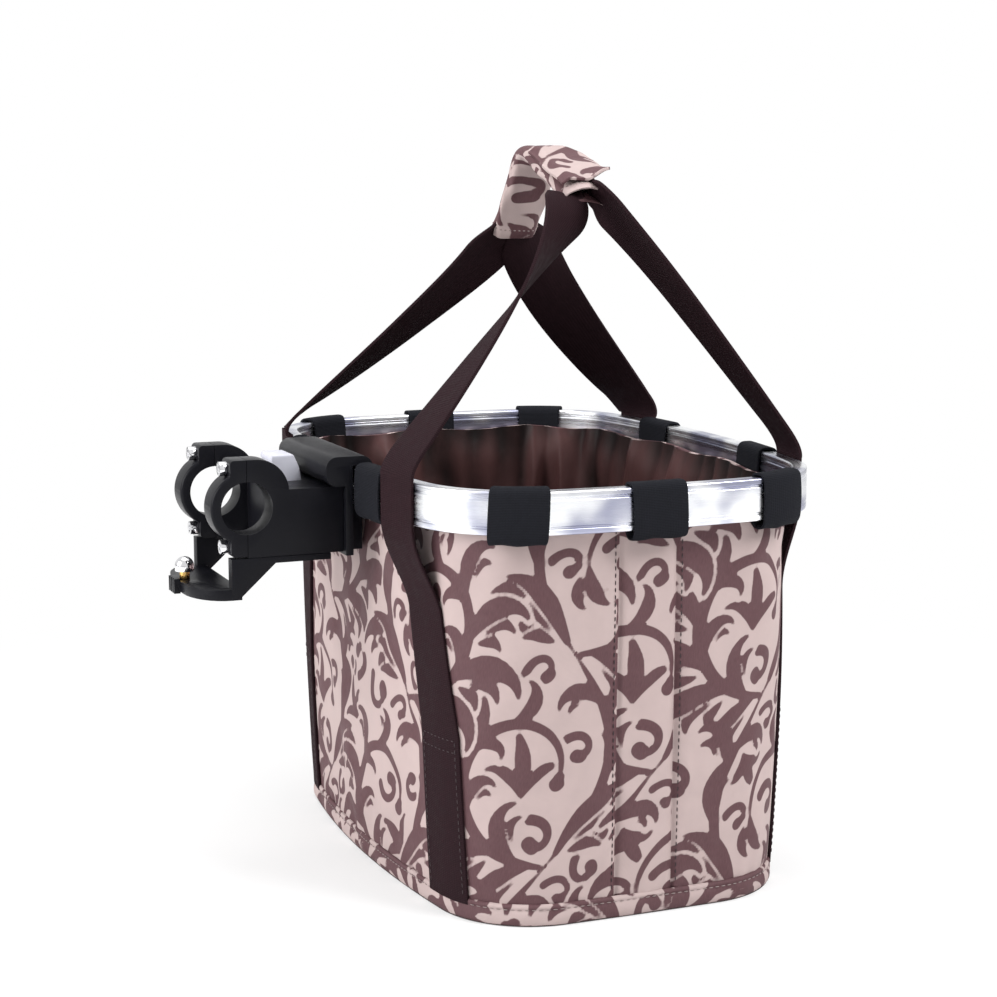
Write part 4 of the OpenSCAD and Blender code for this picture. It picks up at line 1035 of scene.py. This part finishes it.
def make_rim(m):
    """The aluminium rim, open behind the bracket, with two grooves on each face."""
    s = sizes("rim")
    high, edge, band, groove, gap = m.rim_high - m.rim_low, 0.0011, 0.0034, 0.0018, 0.004
    corner = [(edge * (1 - math.sin(a)), edge * (1 - math.cos(a))) for a in np.linspace(0, math.pi / 2, 6)]
    face = [(-x, z) for x, z in corner]
    for low in (band, high - band - groove):
        top = low + groove
        face += [(0, low - 0.0002), (-0.0002, low + 0.0001), (-s.groove, low + 0.0005),
                 (-s.groove, top - 0.0005), (-0.0002, top - 0.0001), (0, top + 0.0002)]
        if low == band:
            face += [(0.0, high * share) for share in (0.3, 0.4, 0.5, 0.6, 0.7)]
    face += [(-x, high - z) for x, z in reversed(corner)]
    ring = np.array(face + [(-s.thick - x, z) for x, z in reversed(face)] + face[:1])
    d = np.linspace(gap, m.rim.round - gap, 361)[None]
    points = raised(m.rim.point(m.rim.place(d), ring[:, 0:1]), m.rim_low + ring[:, 1:2])
    obj = edit(lofted("rim_bar", points, flat_cloth(run_along(ring)[:, None], d)), JOIN, FACE_OUT)
    done(obj, m.finish["rim"], "frame", 24, ["rim_hoop"])


def make_loops(m):
    """Webbing loops that hang the bag from the rim."""
    w = sizes("webbing")
    rim_thick = sizes("rim").thick
    q = m.rim.runs[-1]
    end, long = 0.085, 0.069  # from the middle of an end, and of a long side
    places = {"loop_right_middle": q, "loop_left_middle": 3 * q, "loop_right_rear": q - end,
              "loop_right_front": q + end, "loop_left_front": 3 * q - end, "loop_left_rear": 3 * q + end,
              "loop_rear_right": long, "loop_rear_left": 4 * q - long, "loop_front_right": 2 * q - long,
              "loop_front_left": 2 * q + long}
    half = w.loop_thick / 2
    t = np.linspace(-1, 1, 15)[None]
    for k, (name, middle) in enumerate(places.items()):
        outer, inner = CLEAR + half, -rim_thick - CLEAR - half
        low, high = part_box(name)[0].z + half, m.rim_high + CLEAR + half + 0.0006
        path = rounded([(outer, low), (outer, high), (inner, high), (inner, low)],
                       [0.006, 0.0042, 0.0042, 0.005], 9)
        path = resampled(np.concatenate([path, path[:1]]), 96)
        bulge = 0.0009 * np.sin(np.pi * (path[:, 1] - low) / (high - low))
        path[:, 0] += bulge * np.sign(path[:, 0] + rim_thick / 2)
        off, z = path[:, 0:1], path[:, 1:2]
        lean = 0.0012 * math.sin(2.3 * k) * (z - m.rim_low) / 0.025
        hang = smooth((m.rim_low - z) / 0.005)
        u = m.rim.place(middle + t * w.loop_width / 2 + lean)
        xy = m.rim.point(u, off + 0.0003 * np.cos(9 * t + k) * hang)
        points = raised(xy, z + 0.0004 * np.sin(5 * t + k) * hang)
        points[-1] = points[0]
        obj = lofted(name + "_webbing", points, flat_cloth(t * w.loop_width / 2, run_along(path)[:, None]))
        thicken(edit(obj, JOIN), w.loop_thick, 0.0)
        soften(edit(obj, FACE_OUT), 0.0004)
        done(obj, m.finish["loop"], "frame", 50, [name])


def rim_row(m, across, gap, right, rear):
    """Plan points across a strap at the rim, a gap out of its face."""
    return m.rim.point(m.rim.corner(STRAP_ON_RIM + across * sizes("webbing").width / 2, right, rear), gap)


def strap_row(m, across, z, gap, right, rear):
    """Points of a strap that lies on the wall, and leaves it higher up for the rim's outer face."""
    w = sizes("webbing")
    on_wall = m.strap_line(z) + across * w.width / 2
    u_base, u_rim = (o.corner(on_wall, right, rear) for o in (m.base, m.rim))
    wall = m.between(u_base, u_rim, z, m.swell(z) + gap)
    top = raised(rim_row(m, across, gap, right, rear), wall[..., 2])
    free = smooth((z - w.lies) / (m.rim_low - w.lies))
    return wall + (top - wall) * np.broadcast_to(free, wall.shape[:-1])[..., None]


def strap_piece(m, name, points, run, across, body, nodes, clockwise):
    """A length of strap from its points, the distances along it and the shares across it."""
    w = sizes("webbing")
    cloth = flat_cloth(across * w.width / 2, run[:, None])
    if clockwise:
        points, cloth = points[:, ::-1], cloth[:, ::-1]
    obj = soften(thicken(lofted(name, points, cloth), w.thick, 1.0), 0.0004)
    return done(obj, m.finish["strap"], body, 50, nodes)


def leg_path(start, right, rear):
    """The middle line of a strap from the rim's top into the grip: shares of the way, and points."""
    inside, aside, lead, rise, bend = 0.012, 0.0066, 0.038, 0.006, 0.045
    out = -FAR_WAY if right else NEAR_WAY
    tip = (GRIP_FAR if right else GRIP_NEAR) - inside * out
    end = np.array([tip[0], aside if rear else -aside, tip[1]])
    knee = end + np.array([out[0], 0, out[1]]) * lead
    first = start + np.array([0, 0, rise])

    def curve(a, b, c, t):
        return a * (1 - t) ** 2 + 2 * b * t * (1 - t) + c * t ** 2

    k = np.linspace(0, 1, 100) ** 1.6
    t = k[:, None]
    foot = curve(start, first, curve(first, knee, end, bend), t / bend)
    return k, np.where(t < bend, foot, curve(first, knee, end, t))


def leg_table(m, start_z, right, rear, across, lies, pace):
    """Points of a strap from the rim's top to the grip, turning on its way and gathered at its end."""
    w = sizes("webbing")
    foot = rim_row(m, across, CLEAR, right, rear)[0]
    middle = foot[len(foot) // 2]
    k, path = leg_path(np.array([*middle, start_z]), right, rear)
    tangent = unit(np.gradient(path, axis=0))
    # The way across turns from the rim's chord to how the strap lies in the grip
    chord, lies = unit(np.append(foot[-1] - foot[0], 0)), unit(np.array(lies))
    turn = math.acos(np.clip(chord @ lies, -1, 1))
    share = k[:, None] ** pace
    wide = (np.sin((1 - share) * turn) * chord + np.sin(share * turn) * lies) / math.sin(turn)
    wide = unit(wide - np.sum(wide * tangent, 1, keepdims=True) * tangent)
    face = np.cross(tangent, wide)
    # It starts with the rim's bow, cups half way, and ends narrow and pleated
    gather = smooth((k - 0.72) / 0.28)[:, None]
    half = w.width / 2 * (1 - gather) + 0.0068 * gather
    bow = raised(foot - middle, 0.0) - across.T * chord * w.width / 2
    pleat = gather * (0.0005 * np.cos(3 * np.pi * across) - 0.0006)
    cup = -0.004 * smooth((k - 0.35) / 0.5)[:, None] * (1 - gather) * (across ** 2 - 0.33)
    points = (path[:, None] + (half * across)[..., None] * wide[:, None]
              + (1 - smooth(k / 0.25))[:, None, None] * bow[None] + (pleat + cup)[..., None] * face[:, None])
    if not right:
        # The near mouth of the grip droops at its sides
        aside = np.minimum(1, np.abs(points[..., 1]) / 0.0155) ** 1.3
        arch = GRIP_DROOP * smooth((k - 0.86) / 0.1)[:, None] * aside
        points -= arch[..., None] * np.array([NEAR_WAY[1], 0, -NEAR_WAY[0]])
    return points, run_along(path)


def make_straps(m):
    """The four carrying straps: sewn to the wall, over the rim and up to the grip."""
    w = sizes("webbing")
    across = np.linspace(-1, 1, 17)[None]
    top, leg_z = m.rim_low - CLEAR, m.rim_high + 0.0015
    for name, (right, rear) in CORNERS.items():
        clockwise = right == rear
        z = np.linspace(m.hem_high - 0.003, top, 110)
        points = strap_row(m, across, z[:, None], CLEAR, right, rear)
        obj = strap_piece(m, name + "_wall_webbing", points, z, across, "base", [name + "_wall_strap"],
                          clockwise)
        fold_with_bag(obj, m.hem_high, top)
        z = np.linspace(top - 0.0009, m.rim_high + 0.0024, 14)
        points = raised(rim_row(m, across, CLEAR, right, rear), z[:, None])
        strap_piece(m, name + "_rim_webbing", points, z, across, "frame", [], clockwise)
        points, run = leg_table(m, leg_z, right, rear, across, *STRAP_TURNS[name])
        obj = strap_piece(m, name + "_leg_webbing", points, run + m.rim_high, across, "frame",
                          [name + "_strap"], clockwise)
        give_way(obj, "handle_drop", leg_z, float(points[-1, :, 2].mean()))
        # Stitches up both edges, and two rows across
        marks = stitch_marks(m.hem_high + 0.002, w.sewn - 0.002)
        rows = [(np.full(len(marks), way), marks) for way in (-0.84, 0.84)]
        rows += [(np.linspace(-0.8, 0.8, 16), np.full(16, w.sewn - below)) for below in (0.002, 0.009)]
        runs = [strap_row(m, share, z, CLEAR + w.thick + PROUD, right, rear) for share, z in rows]
        obj = thread_row(name + "_strap_stitches", runs, m.finish["dark_thread"], "base")
        fold_with_bag(obj, m.hem_high, top)


def grip_path(count, over=0.0):
    """The middle line of the grip in XZ, carried over its ends: points, the ways along and the ways up."""
    up = upright(FAR_WAY)
    centre = GRIP_PEAK - FAR_WAY * GRIP_BACK - up * GRIP_BEND
    angle = math.atan2(up[1], up[0]) + GRIP_TURN * np.arange(21) / 20
    bend = centre + GRIP_BEND * np.stack([np.cos(angle), np.sin(angle)], 1)
    path = resampled(np.array([GRIP_FAR - FAR_WAY * over, *bend, GRIP_NEAR + NEAR_WAY * over]), count)
    along = unit(np.gradient(path, axis=0))
    return path, along, upright(along)


def make_wrap(m):
    """The padded wrap round the gathered straps, turned in at its mouths, and its stitches."""
    path, along, up = grip_path(84)
    run = run_along(path)
    half_w, half_h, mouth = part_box("grip_wrap")[1].y - 0.0006, 0.0043, 0.034
    turn = np.linspace(0, 2 * math.pi, 73)
    c, s = np.cos(turn), np.sin(turn)
    # Rows inside a mouth: how much smaller, and how far in
    inner = [(-0.0022, 0.010), (-0.0018, 0.005), (-0.0012, 0.0006), (-0.0004, 0.0)]
    table = [(0, shrink, inside) for shrink, inside in inner] + [(i, 0.0, 0.0) for i in range(len(path))]
    table += [(len(path) - 1, shrink, -inside) for shrink, inside in reversed(inner)]
    points, cloth = [], []
    for i, shrink, inside in table:
        at = run[i]
        edge = min(at, run[-1] - at)
        swell = 0.0009 * math.exp(-((edge - 0.004) / 0.004) ** 2) + 0.0012 * math.sin(math.pi * at / run[-1])
        dent = 0.0005 * np.sin(3 * turn + 90 * at) + 0.0004 * np.sin(5 * turn - 150 * at)
        droop = GRIP_DROOP * smooth((at - run[-1] + mouth) / mouth)
        y = (half_w + 0.5 * swell + shrink + dent) * np.sign(c) * np.abs(c) ** 0.55
        v = (half_h + swell + shrink + dent) * np.sign(s) * np.abs(s) ** 0.75 - droop * np.abs(c) ** 1.3
        centre = path[i] + along[i] * inside
        points.append(np.stack([centre[0] + up[i, 0] * v, y, centre[1] + up[i, 1] * v], 1))
        cloth.append(np.stack([turn * 0.012, np.full_like(turn, at + abs(inside))], 1))
    points, cloth = closed(np.array(points)), np.array(cloth)
    obj = edit(lofted("grip_wrap_cloth", points, cloth, m.printed(cloth, (120, 60))), JOIN, FACE_OUT)
    done(obj, m.finish["cloth"], "grip", 60, ["grip_wrap"])
    runs = []
    for place in (0.007, run[-1] - 0.007):
        i = int(np.argmin(np.abs(run - place))) + len(inner)
        ring = resampled(points[i], 47)[:-1]
        middle = ring.mean(0)
        runs.append(middle + (ring - middle) * 1.02)
    thread_row("grip_stitches", runs, m.finish["thread"], "grip", 0.0004)


def make_strap_tops(m):
    """The pleated ends of the straps inside the wrap."""
    path, _, up = grip_path(60, -0.014)
    across = np.linspace(-1, 1, 13)[None]
    pleat = 0.0009 * np.cos(3 * np.pi * across)
    for name, side in (("rear_strap_top", 1), ("front_strap_top", -1)):
        x, z = (path[:, k:k + 1] + up[:, k:k + 1] * pleat for k in (0, 1))
        points = np.stack(np.broadcast_arrays(x, side * 0.0067 + 0.0062 * across, z), -1)
        obj = lofted(name + "_webbing", points, flat_cloth(0.019 * across, np.linspace(0, 0.15, 60)[:, None]))
        thicken(obj, 0.0018, 0.0)
        done(obj, m.finish["strap"], "grip", 50, [name])


def make_flap(m):
    """The flap on the near slope of the grip, and the two tapes that hold it."""
    up = upright(NEAR_WAY)

    def slope(s, y, high):
        at = BEND_OVER + NEAR_WAY * s[..., None] + up * high[..., None]
        return np.stack([at[..., 0], np.broadcast_to(y, s.shape), at[..., 1]], -1)

    low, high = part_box("grip_flap")
    length, margin = 0.054, 0.006
    start = (np.linalg.norm(GRIP_NEAR - BEND_OVER) - length) / 2
    t, v = np.meshgrid(np.linspace(0, 1, 44), np.linspace(0, 1, 34))
    y = high.y - 0.0005 + (low.y - high.y + 0.0075 * np.abs(2 * t - 1) ** 7) * v
    s = start + length * t
    lie = 0.0052 + 0.0021 + 0.0006 * np.sin(9 * t + 3 * v)
    sag = smooth((v - 0.8) / 0.2) * (1 - smooth((t - 0.6) / 0.4))
    tuck = -0.0035 * smooth((0.18 - v) / 0.18) - 0.0016 * sag
    tip = 0.006 * smooth((v - 0.6) / 0.4) * smooth((t - 0.55) / 0.45)
    cloth = flat_cloth(s, y + 0.03)
    obj = lofted("grip_flap_cloth", slope(s, y, lie + tuck + tip), cloth, m.printed(cloth, (40, 205)))
    soften(thicken(obj, 0.0018, 0.0), 0.0006)
    done(obj, m.finish["cloth"], "grip_flap", 60, ["grip_flap"])
    t, v = np.meshgrid(np.linspace(0, 1, 30), np.linspace(0, 1, 16))
    s = start + margin + (length - 2 * margin) * t
    for name, body, lift in (("loop_tape", "grip", 0.0050), ("hook_tape", "grip_flap", 0.0060)):
        low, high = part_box(name)
        points = slope(s, low.y + 0.002 + (high.y - low.y - 0.004) * v, np.full_like(s, lift))
        obj = thicken(lofted(name + "_pile", points, flat_cloth(s, v * 0.025)), 0.0007, 0.0)
        done(obj, m.finish["tape"], body, 50, [name])


def copied(node, name):
    """A copy of a CAD node with its faces joined."""
    source = frame["nodes"][node]
    obj = source.copy()
    obj.data = source.data.copy()
    obj.parent = None
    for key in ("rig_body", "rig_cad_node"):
        del obj[key]
    obj.name = name
    bpy.context.collection.objects.link(obj)
    obj.hide_render = obj.hide_viewport = False
    return edit(obj, JOIN, FLATTEN, FACE_OUT)


def dressed(m, node, finish, body, bevel, segments=3, more=()):
    """A copy of a CAD node, with more nodes of the same moulding, and its edges rounded."""
    obj = copied(node, node + "_" + finish)
    for other in more:
        add = copied(other, other + "_copy")
        modify(obj, "BOOLEAN", operation="UNION", object=add, solver="EXACT")
        bpy.data.objects.remove(add)
    if more:
        edit(obj, JOIN, FLATTEN)
    soften(obj, bevel, segments, 35.0, harden_normals=False, miter_outer="MITER_ARC")
    done(obj, m.finish[finish], body, 30, [node, *more])


def make_bracket(m):
    """The bracket on the rim, its keeper and its screws."""
    dressed(m, "bracket_shell", "plastic", "frame", 0.0012)
    dressed(m, "bracket_keeper", "plastic", "frame", 0.0006, 2)
    dressed(m, "bracket_screws", "steel", "frame", 0.0003, 2)


def make_adapter(m):
    """The handlebar clamp, its bolts and the stay below it."""
    dressed(m, "adapter_housing", "plastic", "adapter", 0.0014,
            more=["clamp_saddle_left", "clamp_saddle_right"])
    for node, bevel in (("clamp_cap_left", 0.0014), ("clamp_cap_right", 0.0014), ("stay_arm", 0.0012)):
        dressed(m, node, "plastic", "adapter", bevel)
    for node, finish, bevel in (("clamp_bolts", "chrome", 0.0004), ("clamp_nuts", "steel", 0.0003),
                                ("stay_fixings", "steel", 0.0003), ("dome_screw", "chrome", 0.0003),
                                ("cable_sleeve", "brass", 0.0003)):
        dressed(m, node, finish, "adapter", bevel, 2)


def make_button(m):
    """The release button and the spring under it."""
    dressed(m, "release_button", "button", "release_button", 0.001)
    spring = copied("button_spring", "button_spring_steel")
    done(spring, m.finish["steel"], "adapter", 40, ["button_spring"])
    low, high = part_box("button_spring")
    give_way(spring, "button_press", low.z, high.z)


def paint_hidden(m):
    """Gives the CAD nodes that stay inside their finishes."""
    for node, finish in (("base_board", "base"), ("rim_splice", "steel")):
        mesh = frame["nodes"][node].data
        mesh.materials.clear()
        mesh.materials.append(m.finish[finish])


def aimed(name, data, place, target):
    """A light or camera at a place, turned to a target."""
    obj = bpy.data.objects.new(name, data)
    obj.location = place
    obj.rotation_euler = (Vector(target) - Vector(place)).to_track_quat("-Z", "Y").to_euler()
    bpy.context.collection.objects.link(obj)
    return obj


def make_stage():
    """The floor, the white room, the lights and the camera."""
    deselect()
    bpy.ops.mesh.primitive_plane_add(size=30)
    floor = bpy.context.object
    floor.name = "floor"
    # White to the camera, with the shadow near the basket left in
    f = Finish("floor", Roughness=0.9, Base_Color=(0.9, 0.9, 0.9), Specular_IOR_Level=0.0)
    ray = f.add("LightPath", None, None, "Is Camera Ray")
    away = f.add("VectorMath", {"operation": "LENGTH"}, {0: f.place()}, "Value")
    glow = f.add("Emission", None, {"Color": (1.0, 1.0, 1.0), "Strength": 1.0})
    share = ray * f.ramp(away, 0.12, 0.75, 0.5, 1.0)
    mixed = f.add("MixShader", None, {0: share, 1: Wire(f.tree, f.shader.outputs[0]), 2: glow})
    f.tree.links.new(mixed.socket, f.tree.nodes["Material Output"].inputs["Surface"])
    floor.data.materials.append(f.material)

    # Full strength where the room is seen or mirrored, less where it lights
    world = bpy.data.worlds.new("white_room")
    world.use_nodes = True
    tree = world.node_tree
    path = tree.nodes.new("ShaderNodeLightPath")
    seen = Wire(tree, path.outputs["Is Camera Ray"]) + Wire(tree, path.outputs["Is Transmission Ray"])
    shiny = Wire(tree, path.outputs["Is Glossy Ray"])
    plug(tree, tree.nodes["Background"].inputs["Color"], (1.0, 1.0, 1.0))
    plug(tree, tree.nodes["Background"].inputs["Strength"], seen * 0.55 + shiny * 0.45 + 0.45)
    scene = bpy.context.scene
    scene.world = world

    for name, place, target, size, power in LIGHTS:
        light = bpy.data.lights.new(name, "AREA")
        light.size = size
        light.energy = power
        aimed(name, light, place, target)
    camera = bpy.data.cameras.new("camera")
    camera.lens, camera.sensor_width = CAMERA_LENS, CAMERA_SENSOR
    scene.camera = aimed("camera", camera, CAMERA_PLACE, CAMERA_TARGET)
    scene.view_settings.view_transform = "Standard"


SHARED = {}


def measures():
    """The shared measures, made once."""
    if "measures" not in SHARED:
        SHARED["measures"] = Measures()
    return SHARED["measures"]


def built(*makers):
    """Runs the makers of an operator on the shared measures."""
    for make in makers:
        make(measures())
    return {"FINISHED"}


class BASKET_OT_walls(bpy.types.Operator):
    """Adds the printed walls and their seams"""

    bl_idname = "basket.walls"
    bl_label = "Walls"
    bl_options = {"REGISTER", "UNDO"}

    def execute(self, context):
        return built(make_walls)


class BASKET_OT_hem(bpy.types.Operator):
    """Adds the hem and the cloth under the bag"""

    bl_idname = "basket.hem"
    bl_label = "Hem"
    bl_options = {"REGISTER", "UNDO"}

    def execute(self, context):
        return built(make_hem)


class BASKET_OT_lining(bpy.types.Operator):
    """Adds the lining and the piping"""

    bl_idname = "basket.lining"
    bl_label = "Lining"
    bl_options = {"REGISTER", "UNDO"}

    def execute(self, context):
        return built(make_lining)


class BASKET_OT_rim(bpy.types.Operator):
    """Adds the rim"""

    bl_idname = "basket.rim"
    bl_label = "Rim"
    bl_options = {"REGISTER", "UNDO"}

    def execute(self, context):
        return built(make_rim)


class BASKET_OT_loops(bpy.types.Operator):
    """Adds the loops that hang the bag from the rim"""

    bl_idname = "basket.loops"
    bl_label = "Loops"
    bl_options = {"REGISTER", "UNDO"}

    def execute(self, context):
        return built(make_loops)


class BASKET_OT_straps(bpy.types.Operator):
    """Adds the carrying straps"""

    bl_idname = "basket.straps"
    bl_label = "Straps"
    bl_options = {"REGISTER", "UNDO"}

    def execute(self, context):
        return built(make_straps)


class BASKET_OT_grip(bpy.types.Operator):
    """Adds the grip with its flap"""

    bl_idname = "basket.grip"
    bl_label = "Grip"
    bl_options = {"REGISTER", "UNDO"}

    def execute(self, context):
        return built(make_wrap, make_strap_tops, make_flap)


class BASKET_OT_bracket(bpy.types.Operator):
    """Adds the bracket on the rim"""

    bl_idname = "basket.bracket"
    bl_label = "Bracket"
    bl_options = {"REGISTER", "UNDO"}

    def execute(self, context):
        return built(make_bracket)


class BASKET_OT_adapter(bpy.types.Operator):
    """Adds the handlebar clamp, the stay and the button"""

    bl_idname = "basket.adapter"
    bl_label = "Adapter"
    bl_options = {"REGISTER", "UNDO"}

    def execute(self, context):
        return built(make_adapter, make_button, paint_hidden)


class BASKET_OT_stage(bpy.types.Operator):
    """Adds the floor, the lights and the camera"""

    bl_idname = "basket.stage"
    bl_label = "Stage"
    bl_options = {"REGISTER", "UNDO"}

    def execute(self, context):
        make_stage()
        return {"FINISHED"}


OPERATORS = (BASKET_OT_stage, BASKET_OT_walls, BASKET_OT_hem, BASKET_OT_lining, BASKET_OT_rim,
             BASKET_OT_loops, BASKET_OT_straps, BASKET_OT_grip, BASKET_OT_bracket, BASKET_OT_adapter)


class BASKET_PT_panel(bpy.types.Panel):
    """Sizes, colours and pieces of the basket"""

    bl_idname = "BASKET_PT_panel"
    bl_label = "Handlebar Basket"
    bl_space_type = "VIEW_3D"
    bl_region_type = "UI"
    bl_category = "Basket"

    def draw(self, context):
        for operator in OPERATORS:
            self.layout.operator(operator.bl_idname)
        for name, group in GROUPS.items():
            column = self.layout.box().column()
            for prop in group.__annotations__:
                column.prop(getattr(context.scene, name), prop)


CLASSES = (*GROUPS.values(), *OPERATORS, BASKET_PT_panel)


def register():
    for cls in CLASSES:
        bpy.utils.register_class(cls)
    for name, group in GROUPS.items():
        setattr(bpy.types.Scene, name, bpy.props.PointerProperty(type=group))


def unregister():
    for name in GROUPS:
        delattr(bpy.types.Scene, name)
    for cls in reversed(CLASSES):
        bpy.utils.unregister_class(cls)


def main():
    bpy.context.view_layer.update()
    register()
    for operator in OPERATORS:
        getattr(bpy.ops.basket, operator.bl_idname.split(".")[1])()


if __name__ == "__main__":
    main()
